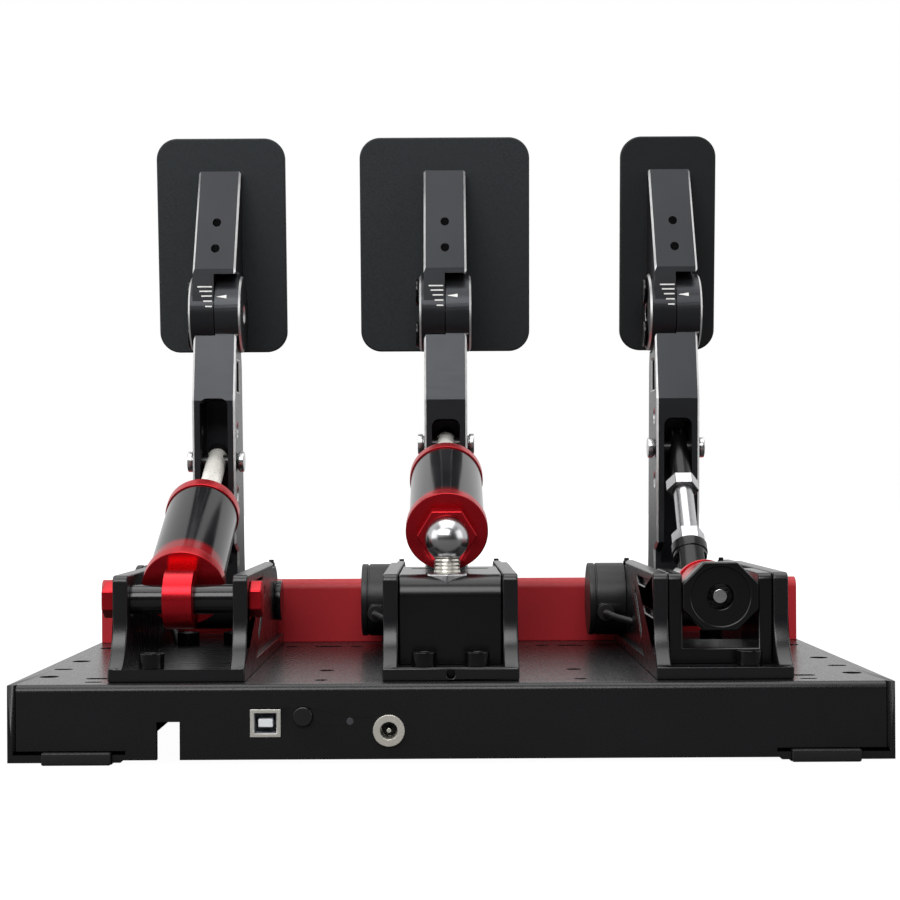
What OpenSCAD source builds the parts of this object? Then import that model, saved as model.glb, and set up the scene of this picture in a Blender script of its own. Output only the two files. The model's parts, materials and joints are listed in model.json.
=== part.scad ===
// Three-pedal set for a racing simulator, seen from its rear side along +Y.
// X runs across the pedals, Y from the rear wall to the driver, Z up from the floor.

/* [Tray] */
// Width of the tray
tray_w = 345; // [335:1:370]
// Depth of the tray, rear wall to front wall
tray_d = 285; // [275:1:310]
// Height of the tray's top face above the floor
tray_h = 31; // [28:0.5:40]
// Sheet thickness
sheet_t = 3; // [2:0.5:3.5]
// Height of the tray's lower edge above the floor
tray_lift = 0.8; // [0.6:0.1:1.2]
// Width of the flanges turned in under the tray
flange_w = 44; // [42:1:50]
// Outer radius of the front and rear bends
bend_r = 3; // [2:0.5:4]
// Gap between the folded walls at the tray's corners
corner_gap = 0.4; // [0.2:0.1:1]
// Height of the front and rear walls' lower edges above the floor
skirt_gap = 1.7; // [1.2:0.1:2.5]
// Width of the cable notch in the rear wall
notch_w = 9; // [6:0.5:12]
// Height of the cable notch above the floor
notch_h = 16.5; // [12:0.5:20]
// Centre of the cable notch
notch_x = -110; // [-116:1:-100]

/* [Mounting holes] */
// Radius of the rig bolt holes in the flanges
rig_hole_r = 3.3; // [2.7:0.1:4.3]
// Radius of the tool holes above them
tool_hole_r = 4; // [3.5:0.5:6]
// Distance of the rig holes from the tray's side
rig_edge = 9.5; // [9:0.5:14]
// Depth of the first pair of rig holes
rig_first_d = 32; // [30:1:40]
// Spacing of the rig holes along the tray
rig_pitch = 65; // [50:1:70]

/* [Feet] */
// Width of a foot
foot_w = 27; // [20:1:28]
// Length of a foot under the flange
foot_l = 22; // [15:1:24]
// Height of a foot
foot_h = 5; // [4.6:0.1:6]
// How far a foot stands out from the wall
foot_proud = 2.4; // [1:0.2:4]
// Distance of a foot's centre from the tray's side
foot_inset = 27; // [24:1:28]

/* [Heel rest] */
// Gap between the brackets' ears and the heel rest's back face
heel_gap = 7.4; // [5:0.2:12]
// Height of the heel rest above the tray
heel_h = 31; // [24:0.5:40]
// Sheet thickness of the heel rest
heel_t = 2.5; // [2:0.5:4]
// Outer bend radius of the heel rest
heel_bend_r = 5; // [4:0.5:8]
// Height of the heel rest's front edge
heel_lip_h = 6; // [4:0.5:12]
// Gap from the tray's side to the heel rest
heel_side_gap = 0.9; // [0.5:0.1:4]
// Gap from the tray's front to the heel rest
heel_front_gap = 4; // [3.5:0.5:12]
// Width of the heel rest's hidden foot flange
heel_flange_w = 14; // [12:1:24]

/* [Rear panel] */
// Places of the ports along the rear wall: socket, button, light and jack
port_x = [-72.2, -57.6, -39.3, -24.2];
// Heights of the ports above the floor
port_z = [15.8, 18.4, 16.4, 12.8];
// Width of the data socket
usb_w = 12; // [11:0.1:12.5]
// Height of the data socket
usb_h = 10.9; // [10.5:0.1:11.2]
// Depth of the data socket
usb_l = 16; // [12:1:20]
// Radius of the push button
button_r = 3.8; // [3:0.1:4.5]
// Travel of the push button
button_travel = 1; // [0.6:0.1:1.5]
// Radius of the status light
light_r = 1.5; // [1:0.1:2]
// Radius of the power jack's flange
jack_flange_r = 6.2; // [5.9:0.1:7]
// Radius of the power jack's body
jack_body_r = 5.5; // [5:0.1:5.7]
// Radius of the power jack's hole
jack_hole_r = 3.35; // [2.8:0.05:3.6]
// Thickness of the circuit board
board_t = 1.6; // [1:0.2:2]

/* [Pedal layout] */
// Spacing of the pedals
pedal_pitch = 108; // [100:1:112]
// Sideways shift of the arms from the bracket centres
arm_shift = -1.2; // [-2:0.1:2]
// Depth of the arm pivot
pivot_d = 166; // [163:0.5:168]
// Height of the arm pivot above the tray
pivot_h = 22.3; // [21:0.1:24]
// Running clearance of shafts in bores
run_fit = 0.05; // [0.02:0.01:0.09]
// Clearance between pieces that move past each other
clear = 0.4; // [0.3:0.05:0.6]

/* [Brackets] */
// Outer width of a bracket
bracket_w = 54; // [53:0.5:58]
// Thickness of the bracket walls
bracket_wall = 6; // [5.5:0.5:6.5]
// Thickness of the bracket plate
bracket_plate = 5; // [4:0.5:6]
// Height of the bracket walls above the tray
bracket_h = 41.5; // [41:0.5:44]
// Depth of the bracket plate's near edge
bracket_near = 8; // [6:0.5:9]
// Depth of the bracket walls' near edge
wall_near = 19.6; // [19:0.2:20]
// Height where the wall's near edge starts to flare
flare_h = 25; // [18:1:28]
// Radius of the round ear at the pivot
ear_r = 17; // [16:0.5:18]
// Depth of the step in the wall's outer face
wall_step = 2.6; // [1.5:0.1:3]
// Depth where the step starts at the bottom of the wall
step_low_d = 56; // [50:1:64]
// Depth where the step starts at the top of the wall
step_high_d = 134; // [120:1:142]
// Depth of the louvred pocket
louvre_cut = 2.2; // [1:0.1:2.6]
// Number of louvre slats
louvre_count = 8; // [4:1:10]
// Thickness of a louvre slat
slat_t = 1.3; // [0.8:0.1:1.6]
// Radius of the bracket screws
screw_r = 3; // [2.5:0.5:3]
// Head radius of the bracket screws
screw_head_r = 5; // [4.5:0.1:5.2]
// Head height of the bracket screws
screw_head_h = 6; // [4:0.5:6.5]
// Depth of the near bracket screws
screw_near_d = 14.4; // [14:0.1:14.6]
// Depth of the far bracket screws
screw_far_d = 118; // [112:1:124]
// Distance of the bracket screws from the centre
screw_x = 10.5; // [9:0.5:13]

/* [Pivot and sensor] */
// Radius of the pivot shaft
shaft_r = 6; // [5:0.5:7]
// Outer radius of the pivot bushes
bush_r = 9; // [8:0.5:10]
// Flange radius of the pivot bushes
bush_flange_r = 11; // [10.5:0.5:13]
// Flange thickness of the pivot bushes
bush_flange_t = 1.5; // [1:0.1:2]
// Radius of the sensor housing
sensor_r = 17.2; // [15:0.1:17.2]
// Distance of the sensor's end from the bracket centre
sensor_reach = 41.6; // [38:0.1:46]
// Radius of the sensor lead
lead_r = 1.6; // [1.4:0.1:1.9]
// Radius of the sensor's lead gland
gland_r = 4; // [3:0.5:5]

/* [Arms] */
// Width of the arms
arm_w = 20; // [19:0.5:22]
// Width of the slot in the arm
slot_w = 13; // [12:0.5:14]
// Depth of the arm pins
pin_d = 148; // [147:0.5:150]
// Heights of the arm pins above the tray: throttle, brake, clutch
pin_h = [88.7, 96.5, 94.3];
// Tops of the arm slots above the tray
slot_top_h = [118, 108, 108];
// Radius of the arm pins
pin_r = 3; // [2.5:0.25:3.5]
// Head radius of the arm pins
pin_head_r = 4.8; // [4.5:0.1:6]
// Head height of the arm pins
pin_head_h = 3.2; // [2:0.2:4]
// Radius of the arm's boss at the pivot
boss_r = 13.5; // [12:0.5:14]

/* [Pads] */
// Depth of the hub
hub_d = 159; // [158:0.5:160]
// Height of the hub above the tray
hub_h = 159; // [156:0.5:162]
// Radius of the hub
hub_r = 18.2; // [17:0.1:18.3]
// Width of the hub
hub_w = 24.3; // [23:0.1:26]
// Distance of the pad's rear face from the hub's axis
pad_offset = 18.7; // [18.7:0.1:20]
// Tilt of the pads
pad_tilt = 5.8; // [4:0.1:8]
// Widths of the pads: throttle, brake, clutch
pad_w = [62, 82, 46];
// Height of the pads
pad_h = 103; // [96:1:110]
// Thickness of the pads
pad_t = 4; // [3:0.5:6]
// Distance from the hub's axis down to the pad's lower edge
pad_drop = 18.6; // [16:0.2:19]
// Corner radius of the pads
pad_corner_r = 10; // [6:0.5:14]
// Height of the pad holder's top above the hub
holder_rise = 68.4; // [60:0.2:72]
// Thickness of the pad holder at its top
holder_tip_t = 3.4; // [3:0.2:5]
// Depth of the grip grooves in the pads
grip_cut = 0.8; // [0.4:0.1:1.2]

/* [Struts] */
// Outer radius of the strut tubes
tube_r = 15.6; // [15:0.1:16]
// Inner radius of the strut tubes
tube_bore_r = 13; // [12.8:0.1:13.4]
// Radius of the red strut flanges
flange_r = 17; // [16.5:0.1:18]
// Radius of the red tube caps
cap_r = 16.2; // [16:0.1:17]
// Radius of the piston rods
rod_r = 4.7; // [4:0.1:4.9]
// Play round the piston rods, which takes up the strut's open slide
rod_play = 1; // [0.9:0.1:1.3]
// Thickness of the flanges and caps
flange_t = 6; // [5:0.5:7]
// Depth of the throttle's cross pin
cross_d = 30; // [29:0.5:31]
// Height of the throttle's cross pin above the tray
cross_h = 31.3; // [30:0.1:33]
// Radius of the throttle's cross pin
cross_r = 6; // [5:0.1:6.4]
// Radius of the throttle's lower eye
lower_eye_r = 12; // [10.5:0.5:12.5]
// Depth of the brake's ball
ball_d = 34; // [33:0.5:35]
// Height of the brake's ball above the tray
ball_h = 55.1; // [54:0.1:56]
// Radius of the brake's ball
ball_r = 9; // [8.5:0.1:9.2]
// Radius of the ball's threaded stud
stud_r = 5; // [4:0.5:5]
// Depth of the load cell's near face
cell_near = 22.5; // [22:0.5:24]
// Depth of the load cell's far face
cell_far = 100; // [90:1:104]
// Height of the load cell's top above the tray
cell_top = 41; // [40:0.2:41.4]

/* [Clutch] */
// Depth of the clutch plunger's pin
plunger_d = 98; // [96:0.5:100]
// Height of the clutch plunger's axis above the tray
plunger_h = 32; // [31:0.2:33]
// Wall of the inner frame
frame_wall = 5.8; // [5:0.1:6.4]
// Depth of the inner frame's far end
frame_far = 62; // [58:0.5:63]
// Thickness of the inner frame's floor
frame_floor = 6.4; // [5:0.2:7]
// Depth of the end block's near face
block_near = 19.4; // [19.2:0.1:19.8]
// Thickness of the end block
block_t = 8; // [6:0.5:10]
// Height of the end block
block_h = 27.4; // [25:0.2:28]
// Radius of the guide hole in the end block
guide_hole_r = 5.15; // [4.5:0.05:6]
// Radius of the plunger's guide rod
guide_r = 2.85; // [2:0.05:3]
// Radius of the chrome push rod
push_rod_r = 4.6; // [4:0.1:5]
// Radius of the lower rod end's sleeve
sleeve_r = 7.5; // [6.5:0.1:8]

/* [Hidden] */
$fn = 48;

// Numbers of the pedals in the lists above
THROTTLE = 0;
BRAKE = 1;
CLUTCH = 2;
PEDALS = [THROTTLE, BRAKE, CLUTCH];
SIDES = [-1, 1];
// Over-run of cuts past the face they start from
over = 1;
// Press fit gap between pieces of one assembly
seat = 0.02;
// Facets of a hexagon
HEX = 6;
// Angle that turns a hexagon's corner to the rear
HEX_TURN = 30;

function pedal_x(i) = (i - BRAKE) * pedal_pitch;
function arm_x(i) = pedal_x(i) + arm_shift;
// Distance between the two bracket walls, halved
inner_half = bracket_w / 2 - bracket_wall;
// Outer face of the stepped wall, from the bracket's centre
step_face = bracket_w / 2 - wall_step;
// Radius of the concave flare of the wall's near edge
flare_in = wall_near - bracket_near;
flare_drop = flare_h - bracket_plate;
flare_r = (flare_in * flare_in + flare_drop * flare_drop) / (2 * flare_in);
// Flat on top of the ear, where its screw sits
ear_flat = 0.5;
ear_top = pivot_h + ear_r - ear_flat;
// Depth of the heel rest's back face
heel_d = pivot_d + ear_r + heel_gap;
// Straight part of the wall's top before the ear
wall_top_far = pivot_d - ear_r + over;
// Side play of the arm's boss between the bush flanges
boss_left = inner_half + arm_shift - bush_flange_t - clear;
boss_right = inner_half - arm_shift - bush_flange_t - clear;

// Strut directions and lengths, from the lower joint to the arm pin
function strut_foot(i) = i == THROTTLE ? [cross_d, cross_h]
    : i == BRAKE ? [ball_d, ball_h] : [plunger_d, plunger_h];
function strut_x(i) = i == CLUTCH ? pedal_x(i) : arm_x(i);
function strut_run(i) = [pin_d, pin_h[i]] - strut_foot(i);
function strut_len(i) = norm(strut_run(i));
function strut_angle(i) = atan2(strut_run(i)[1], strut_run(i)[0]);

// Stations along a strut, from its lower joint
spigot_l = 8;
spigot_gap = 0.05;
eye_flange_at = 8.6;
ball_gap = 0.06;
socket_lip = 0.3;
socket_flange_at = 7.6;
socket_hex_r = 12.4;
tube_l = [58.7, 56];
rod_past = 11;
piston_t = 6;
piston_gap = 0.9;
piston_at = 46;
gland_nut_t = 5.5;
gland_nut_r = 8.6;
elastomer_count = 3;
elastomer_r = 11;
spring_out_r = 11;
spring_in_r = 8.4;
function tube_from(i) = (i == THROTTLE ? eye_flange_at : socket_flange_at) + flange_t;
function tube_to(i) = tube_from(i) + tube_l[i];

// Clutch stations
tube_near = block_near + block_t;
clutch_tube_wall = 1.4;
clutch_tube_gap = 3;
clutch_tube_r = inner_half - frame_wall - clutch_tube_gap;
clutch_bore_r = clutch_tube_r - clutch_tube_wall;
clutch_flange_t = 4;
clutch_flange_r = clutch_tube_r + 2 * clear;
plunger_r = 10;
plunger_slot = 12;
piston_far = 60;
clutch_piston_t = 4;
lower_sleeve_to = 22.3;
lower_nut_to = 28.8;
upper_nut_from = 53.6;
upper_nut_to = 59.6;
rod_nut_r = 7.6;
upper_sleeve_r = slot_w / 2 - abs(arm_shift) - clear;
rod_end_past = 8;
rod_insert = 6;
ring_recess_r = 11.8;
ring_recess = 0.6;
block_chamfer = 8.5;

// Board and ports
board_w = 50;
board_d = 44;
board_gap = 1;
post_r = 2.5;
post_edge = 4;
header_w = 30;
header_d = 8;
header_h = 6;
switch_w = 9;
switch_d = 8;
port_fit = 0.2;
button_proud = 1.4;
button_l = 9;
plunger_stem_r = 1.5;
stem_l = 3.5;
light_l = 7;
jack_l = 15;
jack_flange_t = 1.2;
jack_pin_r = 1;
jack_hole_l = 9;
usb_mouth_w = 8.6;
usb_mouth_h = 7.9;
usb_tongue_w = 5.6;
usb_tongue_h = 3.2;
usb_back = 4;
board_top = port_z[0] - usb_h / 2;
board_x = port_x[0] - usb_w / 2 - post_edge;

// Lead routes, as points after the wall hole: x, depth, height above the floor
lead_gland_x = -34.5;
lead_gland_h = 17;
lead_hole_d = 128;
lead_hole_h = 14;
lead_hole_r = 3;
lead_drop_x = -16;
lead_drop_d = 122;
gland_l = 4;
lead_tails = [
    [[-121, 118, 21], [-106, 104, 19], [-84, 78, 17], [-68, 62, 15]],
    [[-19, 117, 21], [-29, 104, 19], [-46, 80, 17], [-57, 62, 15]],
    [[88, 117, 21], [70, 106, 19], [10, 92, 18], [-36, 72, 17], [-48, 61, 15]]];
lead_sides = 8;
lead_steps = 3;
lead_ends_x = [-69.5, -61.5, -53.5];

// Moves its children to a depth and a height above the tray, at a place across it
module place(d, h, x = 0) {
    translate([x, d - tray_d / 2, tray_h + h]) children();
}

// Extrudes an outline drawn as depth and height along X
module across(x0, w) {
    place(0, 0, x0) rotate([90, 0, 90]) linear_extrude(w) children();
}

// A round bar or bore along X
module bar_x(d, h, x0, l, r) {
    place(d, h, x0) rotate([0, 90, 0]) cylinder(h = l, r = r);
}

// A round bar along Y in the current frame
module bar_y(y0, l, r) {
    translate([0, y0, 0]) rotate([-90, 0, 0]) cylinder(h = l, r = r);
}

// A hexagon along Y in the current frame
module hex_y(y0, l, r) {
    translate([0, y0, 0]) rotate([-90, 0, 0]) cylinder(h = l, r = r, $fn = HEX);
}

// A flat plate with round corners, centred, in the XY plane
module round_plate(w, h, t, r) {
    linear_extrude(t) {
        square([w - 2 * r, h], center = true);
        square([w, h - 2 * r], center = true);
        for (sx = SIDES, sy = SIDES) {
            translate([sx * (w / 2 - r), sy * (h / 2 - r)]) circle(r);
        }
    }
}

// A slot outline with round ends, centred
module stadium(w, h) {
    square([w - h, h], center = true);
    for (s = SIDES) {
        translate([s * (w - h) / 2, 0]) circle(h / 2);
    }
}

// A slot with round ends through the tray's top
module top_slot(x, d, w, h) {
    place(d, -sheet_t - over, x) linear_extrude(sheet_t + 2 * over) stadium(w, h);
}

// Tray slots beside and between the brackets: place, depth, width and height of each
tray_slots = [[141.5, 24, 10, 5], [141, 11, 7, 3.4], [58, 165, 13, 6], [44.5, 165, 6.4, 6], [75.5, 165, 6.4, 6],
    [51.5, 52, 6.4, 6], [51.5, 14.5, 5, 4.8], [163.5, 62, 8, 5]];
screw_tap_r = screw_r + seat;
heel_screw_x = [-140, -50, 50, 140];
heel_screw_r = 2;
heel_screw_head_r = 3.6;
heel_screw_head_h = 2;
heel_screw_d = heel_d + heel_flange_w / 2 + heel_t / 2;
rig_x = tray_w / 2 - rig_edge;
function rig_depth(k) = rig_first_d + k * rig_pitch;
RIG_ROWS = [0, 1, 2];

// Places of the bracket screws: pedal and side of each
near_screws = [[THROTTLE, -1], [BRAKE, -1], [BRAKE, 1], [CLUTCH, 1]];
far_screws = [for (i = PEDALS, s = SIDES) [i, s]];

module screw_holes(z0, l) {
    for (n = near_screws) {
        place(screw_near_d, z0, pedal_x(n[0]) + n[1] * screw_x) cylinder(h = l, r = screw_tap_r);
    }
    for (n = far_screws) {
        place(screw_far_d, z0, pedal_x(n[0]) + n[1] * screw_x) cylinder(h = l, r = screw_tap_r);
    }
}

module tray_outline() {
    half = tray_d / 2;
    translate([-half + bend_r, tray_h - sheet_t]) square([tray_d - 2 * bend_r, sheet_t]);
    for (s = SIDES) {
        translate([s > 0 ? half - sheet_t : -half, skirt_gap]) {
            square([sheet_t, tray_h - bend_r - skirt_gap]);
        }
        intersection() {
            translate([s * (half - bend_r), tray_h - bend_r]) circle(bend_r);
            translate([s > 0 ? half - bend_r : -half, tray_h - bend_r]) square(bend_r);
        }
    }
}

module base_tray() {
    wall_x = tray_w / 2 - sheet_t;
    color([0.1, 0.1, 0.11]) difference() {
        union() {
            translate([-wall_x + corner_gap, 0, 0]) rotate([90, 0, 90]) {
                linear_extrude(2 * (wall_x - corner_gap)) tray_outline();
            }
            translate([-tray_w / 2, -tray_d / 2 + bend_r, tray_h - sheet_t]) {
                cube([tray_w, tray_d - 2 * bend_r, sheet_t]);
            }
            for (s = SIDES) {
                translate([s > 0 ? wall_x : -tray_w / 2, -tray_d / 2, tray_lift]) {
                    cube([sheet_t, tray_d, tray_h - tray_lift]);
                }
                translate([s > 0 ? tray_w / 2 - flange_w : -tray_w / 2, -tray_d / 2, tray_lift]) {
                    cube([flange_w, tray_d, sheet_t]);
                }
            }
        }
        // Foot windows at the corners of the front and rear walls
        for (sx = SIDES, sy = SIDES) {
            translate([sx * (tray_w / 2 - sheet_t - corner_gap - (flange_w - sheet_t) / 2), sy * tray_d / 2, 0]) {
                difference() {
                    translate([-flange_w / 2, -sheet_t - over, -over]) {
                        cube([flange_w, 2 * (sheet_t + over), foot_h + clear + over]);
                    }
                    translate([-flange_w, -tray_d / 2, tray_lift]) cube([2 * flange_w, tray_d, sheet_t]);
                }
            }
        }
        translate([notch_x - notch_w / 2, -tray_d / 2 - over, -over]) {
            cube([notch_w, sheet_t + 2 * over, notch_h + over]);
        }
        for (k = RIG_ROWS, s = SIDES) {
            translate([s * rig_x, rig_depth(k) - tray_d / 2, tray_lift - over]) {
                cylinder(h = sheet_t + 2 * over, r = rig_hole_r);
            }
            place(rig_depth(k), -sheet_t - over, s * rig_x) cylinder(h = sheet_t + 2 * over, r = tool_hole_r);
        }
        for (t = tray_slots, s = SIDES) {
            top_slot(s * t[0], t[1], t[2], t[3]);
        }
        screw_holes(-sheet_t - over, sheet_t + 2 * over);
        for (x = heel_screw_x) {
            place(heel_screw_d, -sheet_t - over, x) cylinder(h = sheet_t + 2 * over, r = heel_screw_r + seat);
        }
        for (i = PEDALS) {
            place(lead_drop_d, -sheet_t - over, pedal_x(i) + lead_drop_x) {
                cylinder(h = sheet_t + 2 * over, r = lead_hole_r);
            }
        }
        port_cuts();
    }
}

module port_cuts() {
    translate([port_x[0], -tray_d / 2, port_z[0]]) {
        cube([usb_w + 2 * port_fit, 2 * (sheet_t + over), usb_h + 2 * port_fit], center = true);
    }
    translate([port_x[1], -tray_d / 2, port_z[1]]) bar_y(-over, sheet_t + 2 * over, button_r + port_fit);
    translate([port_x[2], -tray_d / 2, port_z[2]]) bar_y(-over, sheet_t + 2 * over, light_r + seat);
    translate([port_x[3], -tray_d / 2, port_z[3]]) bar_y(-over, sheet_t + 2 * over, jack_body_r + seat);
}

// Heel rest: back wall, bend, slope and front lip
heel_end = tray_d - heel_front_gap;
heel_bend_d = heel_d + heel_bend_r;
heel_bend_h = heel_h - heel_bend_r;
heel_slope = atan((heel_h - heel_lip_h) / (heel_end - heel_bend_d));
heel_end_h = heel_bend_h + heel_bend_r / cos(heel_slope) - (heel_end - heel_bend_d) * tan(heel_slope);

module heel_fill() {
    polygon([[heel_d, 0], [heel_d, heel_bend_h], [heel_bend_d, heel_bend_h],
        [heel_bend_d + heel_bend_r * sin(heel_slope), heel_bend_h + heel_bend_r * cos(heel_slope)],
        [heel_end, heel_end_h], [heel_end, 0]]);
    translate([heel_bend_d, heel_bend_h]) circle(heel_bend_r);
}

module heel_hollow() {
    inner_end = heel_end - heel_t;
    inner_end_h = heel_end_h + heel_t * tan(heel_slope) - heel_t / cos(heel_slope);
    inner_r = heel_bend_r - heel_t;
    polygon([[heel_d + heel_t, -over], [heel_d + heel_t, heel_bend_h], [heel_bend_d, heel_bend_h],
        [heel_bend_d + inner_r * sin(heel_slope), heel_bend_h + inner_r * cos(heel_slope)],
        [inner_end, inner_end_h], [inner_end, -over]]);
    translate([heel_bend_d, heel_bend_h]) circle(inner_r);
}

module heel_rest() {
    half = tray_w / 2 - heel_side_gap;
    color([0.5, 0.09, 0.12]) difference() {
        union() {
            difference() {
                across(-half, 2 * half) heel_fill();
                across(-half + heel_t, 2 * (half - heel_t)) heel_hollow();
            }
            place(heel_d + heel_t / 2, 0, -half + heel_t / 2) {
                cube([2 * half - heel_t, heel_flange_w, heel_t]);
            }
        }
        for (x = heel_screw_x) {
            place(heel_screw_d, -over, x) cylinder(h = heel_t + 2 * over, r = heel_screw_r + seat);
        }
    }
}

module feet() {
    color([0.07, 0.07, 0.07]) for (sx = SIDES, sy = SIDES) {
        translate([sx * (tray_w / 2 - foot_inset), sy * tray_d / 2, 0]) difference() {
            translate([-foot_w / 2, sy > 0 ? -foot_l : -foot_proud, 0]) {
                cube([foot_w, foot_l + foot_proud, foot_h]);
            }
            translate([-foot_w, sy > 0 ? -2 * foot_l : 0, tray_lift]) cube([2 * foot_w, 2 * foot_l, sheet_t]);
        }
    }
}

module control_board() {
    y0 = -tray_d / 2 + sheet_t + board_gap;
    header_x = (lead_ends_x[0] + lead_ends_x[2]) / 2;
    switch_y = -tray_d / 2 + button_travel + clear - button_proud + button_l;
    color([0.05, 0.25, 0.12]) {
        translate([board_x, y0, board_top - board_t]) cube([board_w, board_d, board_t]);
        translate([header_x - header_w / 2, y0 + board_d - header_d - 2 * post_edge, board_top]) {
            cube([header_w, header_d, header_h]);
        }
        difference() {
            translate([port_x[1] - switch_w / 2, switch_y, board_top]) {
                cube([switch_w, switch_d, port_z[1] - board_top + switch_w / 2]);
            }
            translate([port_x[1], switch_y, port_z[1]]) bar_y(-over, stem_l + 2 * over, plunger_stem_r + run_fit);
        }
    }
}

module board_posts() {
    y0 = -tray_d / 2 + sheet_t + board_gap;
    color([0.7, 0.65, 0.5]) {
        for (px = [post_edge, board_w - post_edge], py = [board_d / 2 - post_edge, board_d - post_edge]) {
            translate([board_x + px, y0 + py, board_top]) cylinder(h = tray_h - sheet_t - board_top, r = post_r);
        }
    }
}

module usb_socket() {
    y0 = -tray_d / 2;
    color([0.8, 0.79, 0.75]) translate([port_x[0], y0, port_z[0]]) {
        difference() {
            translate([-usb_w / 2, 0, -usb_h / 2]) cube([usb_w, usb_l, usb_h]);
            translate([-usb_mouth_w / 2, -over, -usb_mouth_h / 2]) {
                cube([usb_mouth_w, usb_l - usb_back + over, usb_mouth_h]);
            }
        }
        translate([-usb_tongue_w / 2, over, -usb_tongue_h / 2]) {
            cube([usb_tongue_w, usb_l - usb_back - over, usb_tongue_h]);
        }
    }
}

module dc_jack() {
    color([0.75, 0.74, 0.7]) translate([port_x[3], -tray_d / 2, port_z[3]]) {
        difference() {
            union() {
                bar_y(-jack_flange_t, jack_flange_t, jack_flange_r);
                bar_y(-over / 2, jack_l, jack_body_r);
            }
            bar_y(-jack_flange_t - over, jack_hole_l + over, jack_hole_r);
        }
        bar_y(0, jack_hole_l - jack_flange_t, jack_pin_r);
    }
}

module status_light() {
    color([0.85, 0.87, 0.9]) translate([port_x[2], -tray_d / 2, port_z[2]]) {
        bar_y(0, light_l, light_r);
        translate([0, light_l - light_r, board_top - port_z[2]]) {
            cylinder(h = port_z[2] - board_top, r = light_r);
        }
    }
}

module push_button() {
    color([0.06, 0.06, 0.06]) translate([port_x[1], -tray_d / 2, port_z[1]]) {
        bar_y(-button_proud, button_l, button_r);
        bar_y(button_l - button_proud - over, stem_l, plunger_stem_r);
    }
}

wall_screw_r = 1.5;
wall_screw_l = 5;
wall_screw_head_r = 1.65;
wall_screw_head_h = 1.7;
wall_screw_nub_r = 1.2;
wall_screw_nub_h = 1.3;
wall_screw_x = (inner_half + step_face) / 2;

module base_screws() {
    grip = bracket_plate + sheet_t;
    color([0.12, 0.12, 0.12]) {
        for (n = near_screws) {
            place(screw_near_d, bracket_plate, pedal_x(n[0]) + n[1] * screw_x) cap_screw(grip);
        }
        for (n = far_screws) {
            place(screw_far_d, bracket_plate, pedal_x(n[0]) + n[1] * screw_x) cap_screw(grip);
        }
        for (x = heel_screw_x) {
            place(heel_screw_d, -sheet_t, x) {
                cylinder(h = sheet_t + heel_t, r = heel_screw_r);
                translate([0, 0, -heel_screw_head_h]) cylinder(h = heel_screw_head_h, r = heel_screw_head_r);
            }
        }
        for (i = PEDALS, s = SIDES) {
            place(pivot_d, ear_top, pedal_x(i) + s * wall_screw_x) {
                translate([0, 0, -wall_screw_l]) cylinder(h = wall_screw_l, r = wall_screw_r);
                cylinder(h = wall_screw_head_h, r = wall_screw_head_r);
                cylinder(h = wall_screw_head_h + wall_screw_nub_h, r = wall_screw_nub_r);
            }
        }
    }
}

// A socket head screw standing on its seat, with its key socket
key_share = 0.5;
module cap_screw(grip) {
    difference() {
        union() {
            cylinder(h = screw_head_h, r = screw_head_r);
            translate([0, 0, -grip]) cylinder(h = grip, r = screw_r);
        }
        translate([0, 0, screw_head_h * key_share]) {
            cylinder(h = screw_head_h, r = screw_head_r * key_share, $fn = HEX);
        }
    }
}

// Side outline of a bracket wall
top_round = 3;
module wall_outline() {
    difference() {
        union() {
            translate([bracket_near, 0]) square([wall_top_far - bracket_near, bracket_h]);
            polygon([[wall_top_far, 0], [wall_top_far, bracket_h], [pivot_d, ear_top + ear_flat],
                [pivot_d, 0]]);
            translate([pivot_d, pivot_h]) circle(ear_r);
            translate([pivot_d, 0]) square([ear_r, pivot_h]);
        }
        translate([bracket_near - over, flare_h]) square([flare_in + over, bracket_h]);
        translate([wall_near - flare_r, flare_h]) difference() {
            circle(flare_r);
            translate([-2 * flare_r, -2 * flare_r - flare_drop]) square([4 * flare_r, 2 * flare_r]);
        }
        translate([wall_near, bracket_h - top_round]) difference() {
            translate([-over, 0]) square([top_round + over, top_round + over]);
            translate([top_round, 0]) circle(top_round);
        }
        translate([pivot_d - ear_r, ear_top]) square([2 * ear_r, ear_r]);
    }
}

// The part of a wall's outer face behind the slanted step
module step_outline() {
    polygon([[step_low_d, bracket_plate], [step_high_d, bracket_h + over],
        [pivot_d + ear_r + over, bracket_h + over], [pivot_d + ear_r + over, bracket_plate]]);
}

// The louvred pocket, with a solid boss round a cross pin where there is one
pocket_near_top = 24;
pocket_far_top = 82;
pocket_low_d = 17;
pocket_low_h = 8.5;
pocket_drop = 4;
pocket_top = bracket_h - pocket_drop;
boss_pad_r = 9;
slit_from = [63.5, 13.5];
slit_to = [90, 31.5];
slit_w = 4;
slit_cut = 1.5;
module louvre_outline(with_boss) {
    pitch = (pocket_top - pocket_low_h) / louvre_count;
    difference() {
        polygon([[pocket_near_top, pocket_top], [pocket_far_top, pocket_top], [pocket_low_d, pocket_low_h]]);
        for (k = [1 : louvre_count - 1]) {
            translate([0, pocket_low_h + k * pitch - slat_t / 2]) square([pocket_far_top + over, slat_t]);
        }
        if (with_boss) {
            translate([cross_d, cross_h]) circle(boss_pad_r);
        }
    }
}

module slit_outline() {
    run = slit_to - slit_from;
    translate(slit_from) rotate(atan2(run[1], run[0])) translate([0, -slit_w / 2]) square([norm(run), slit_w]);
}

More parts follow.
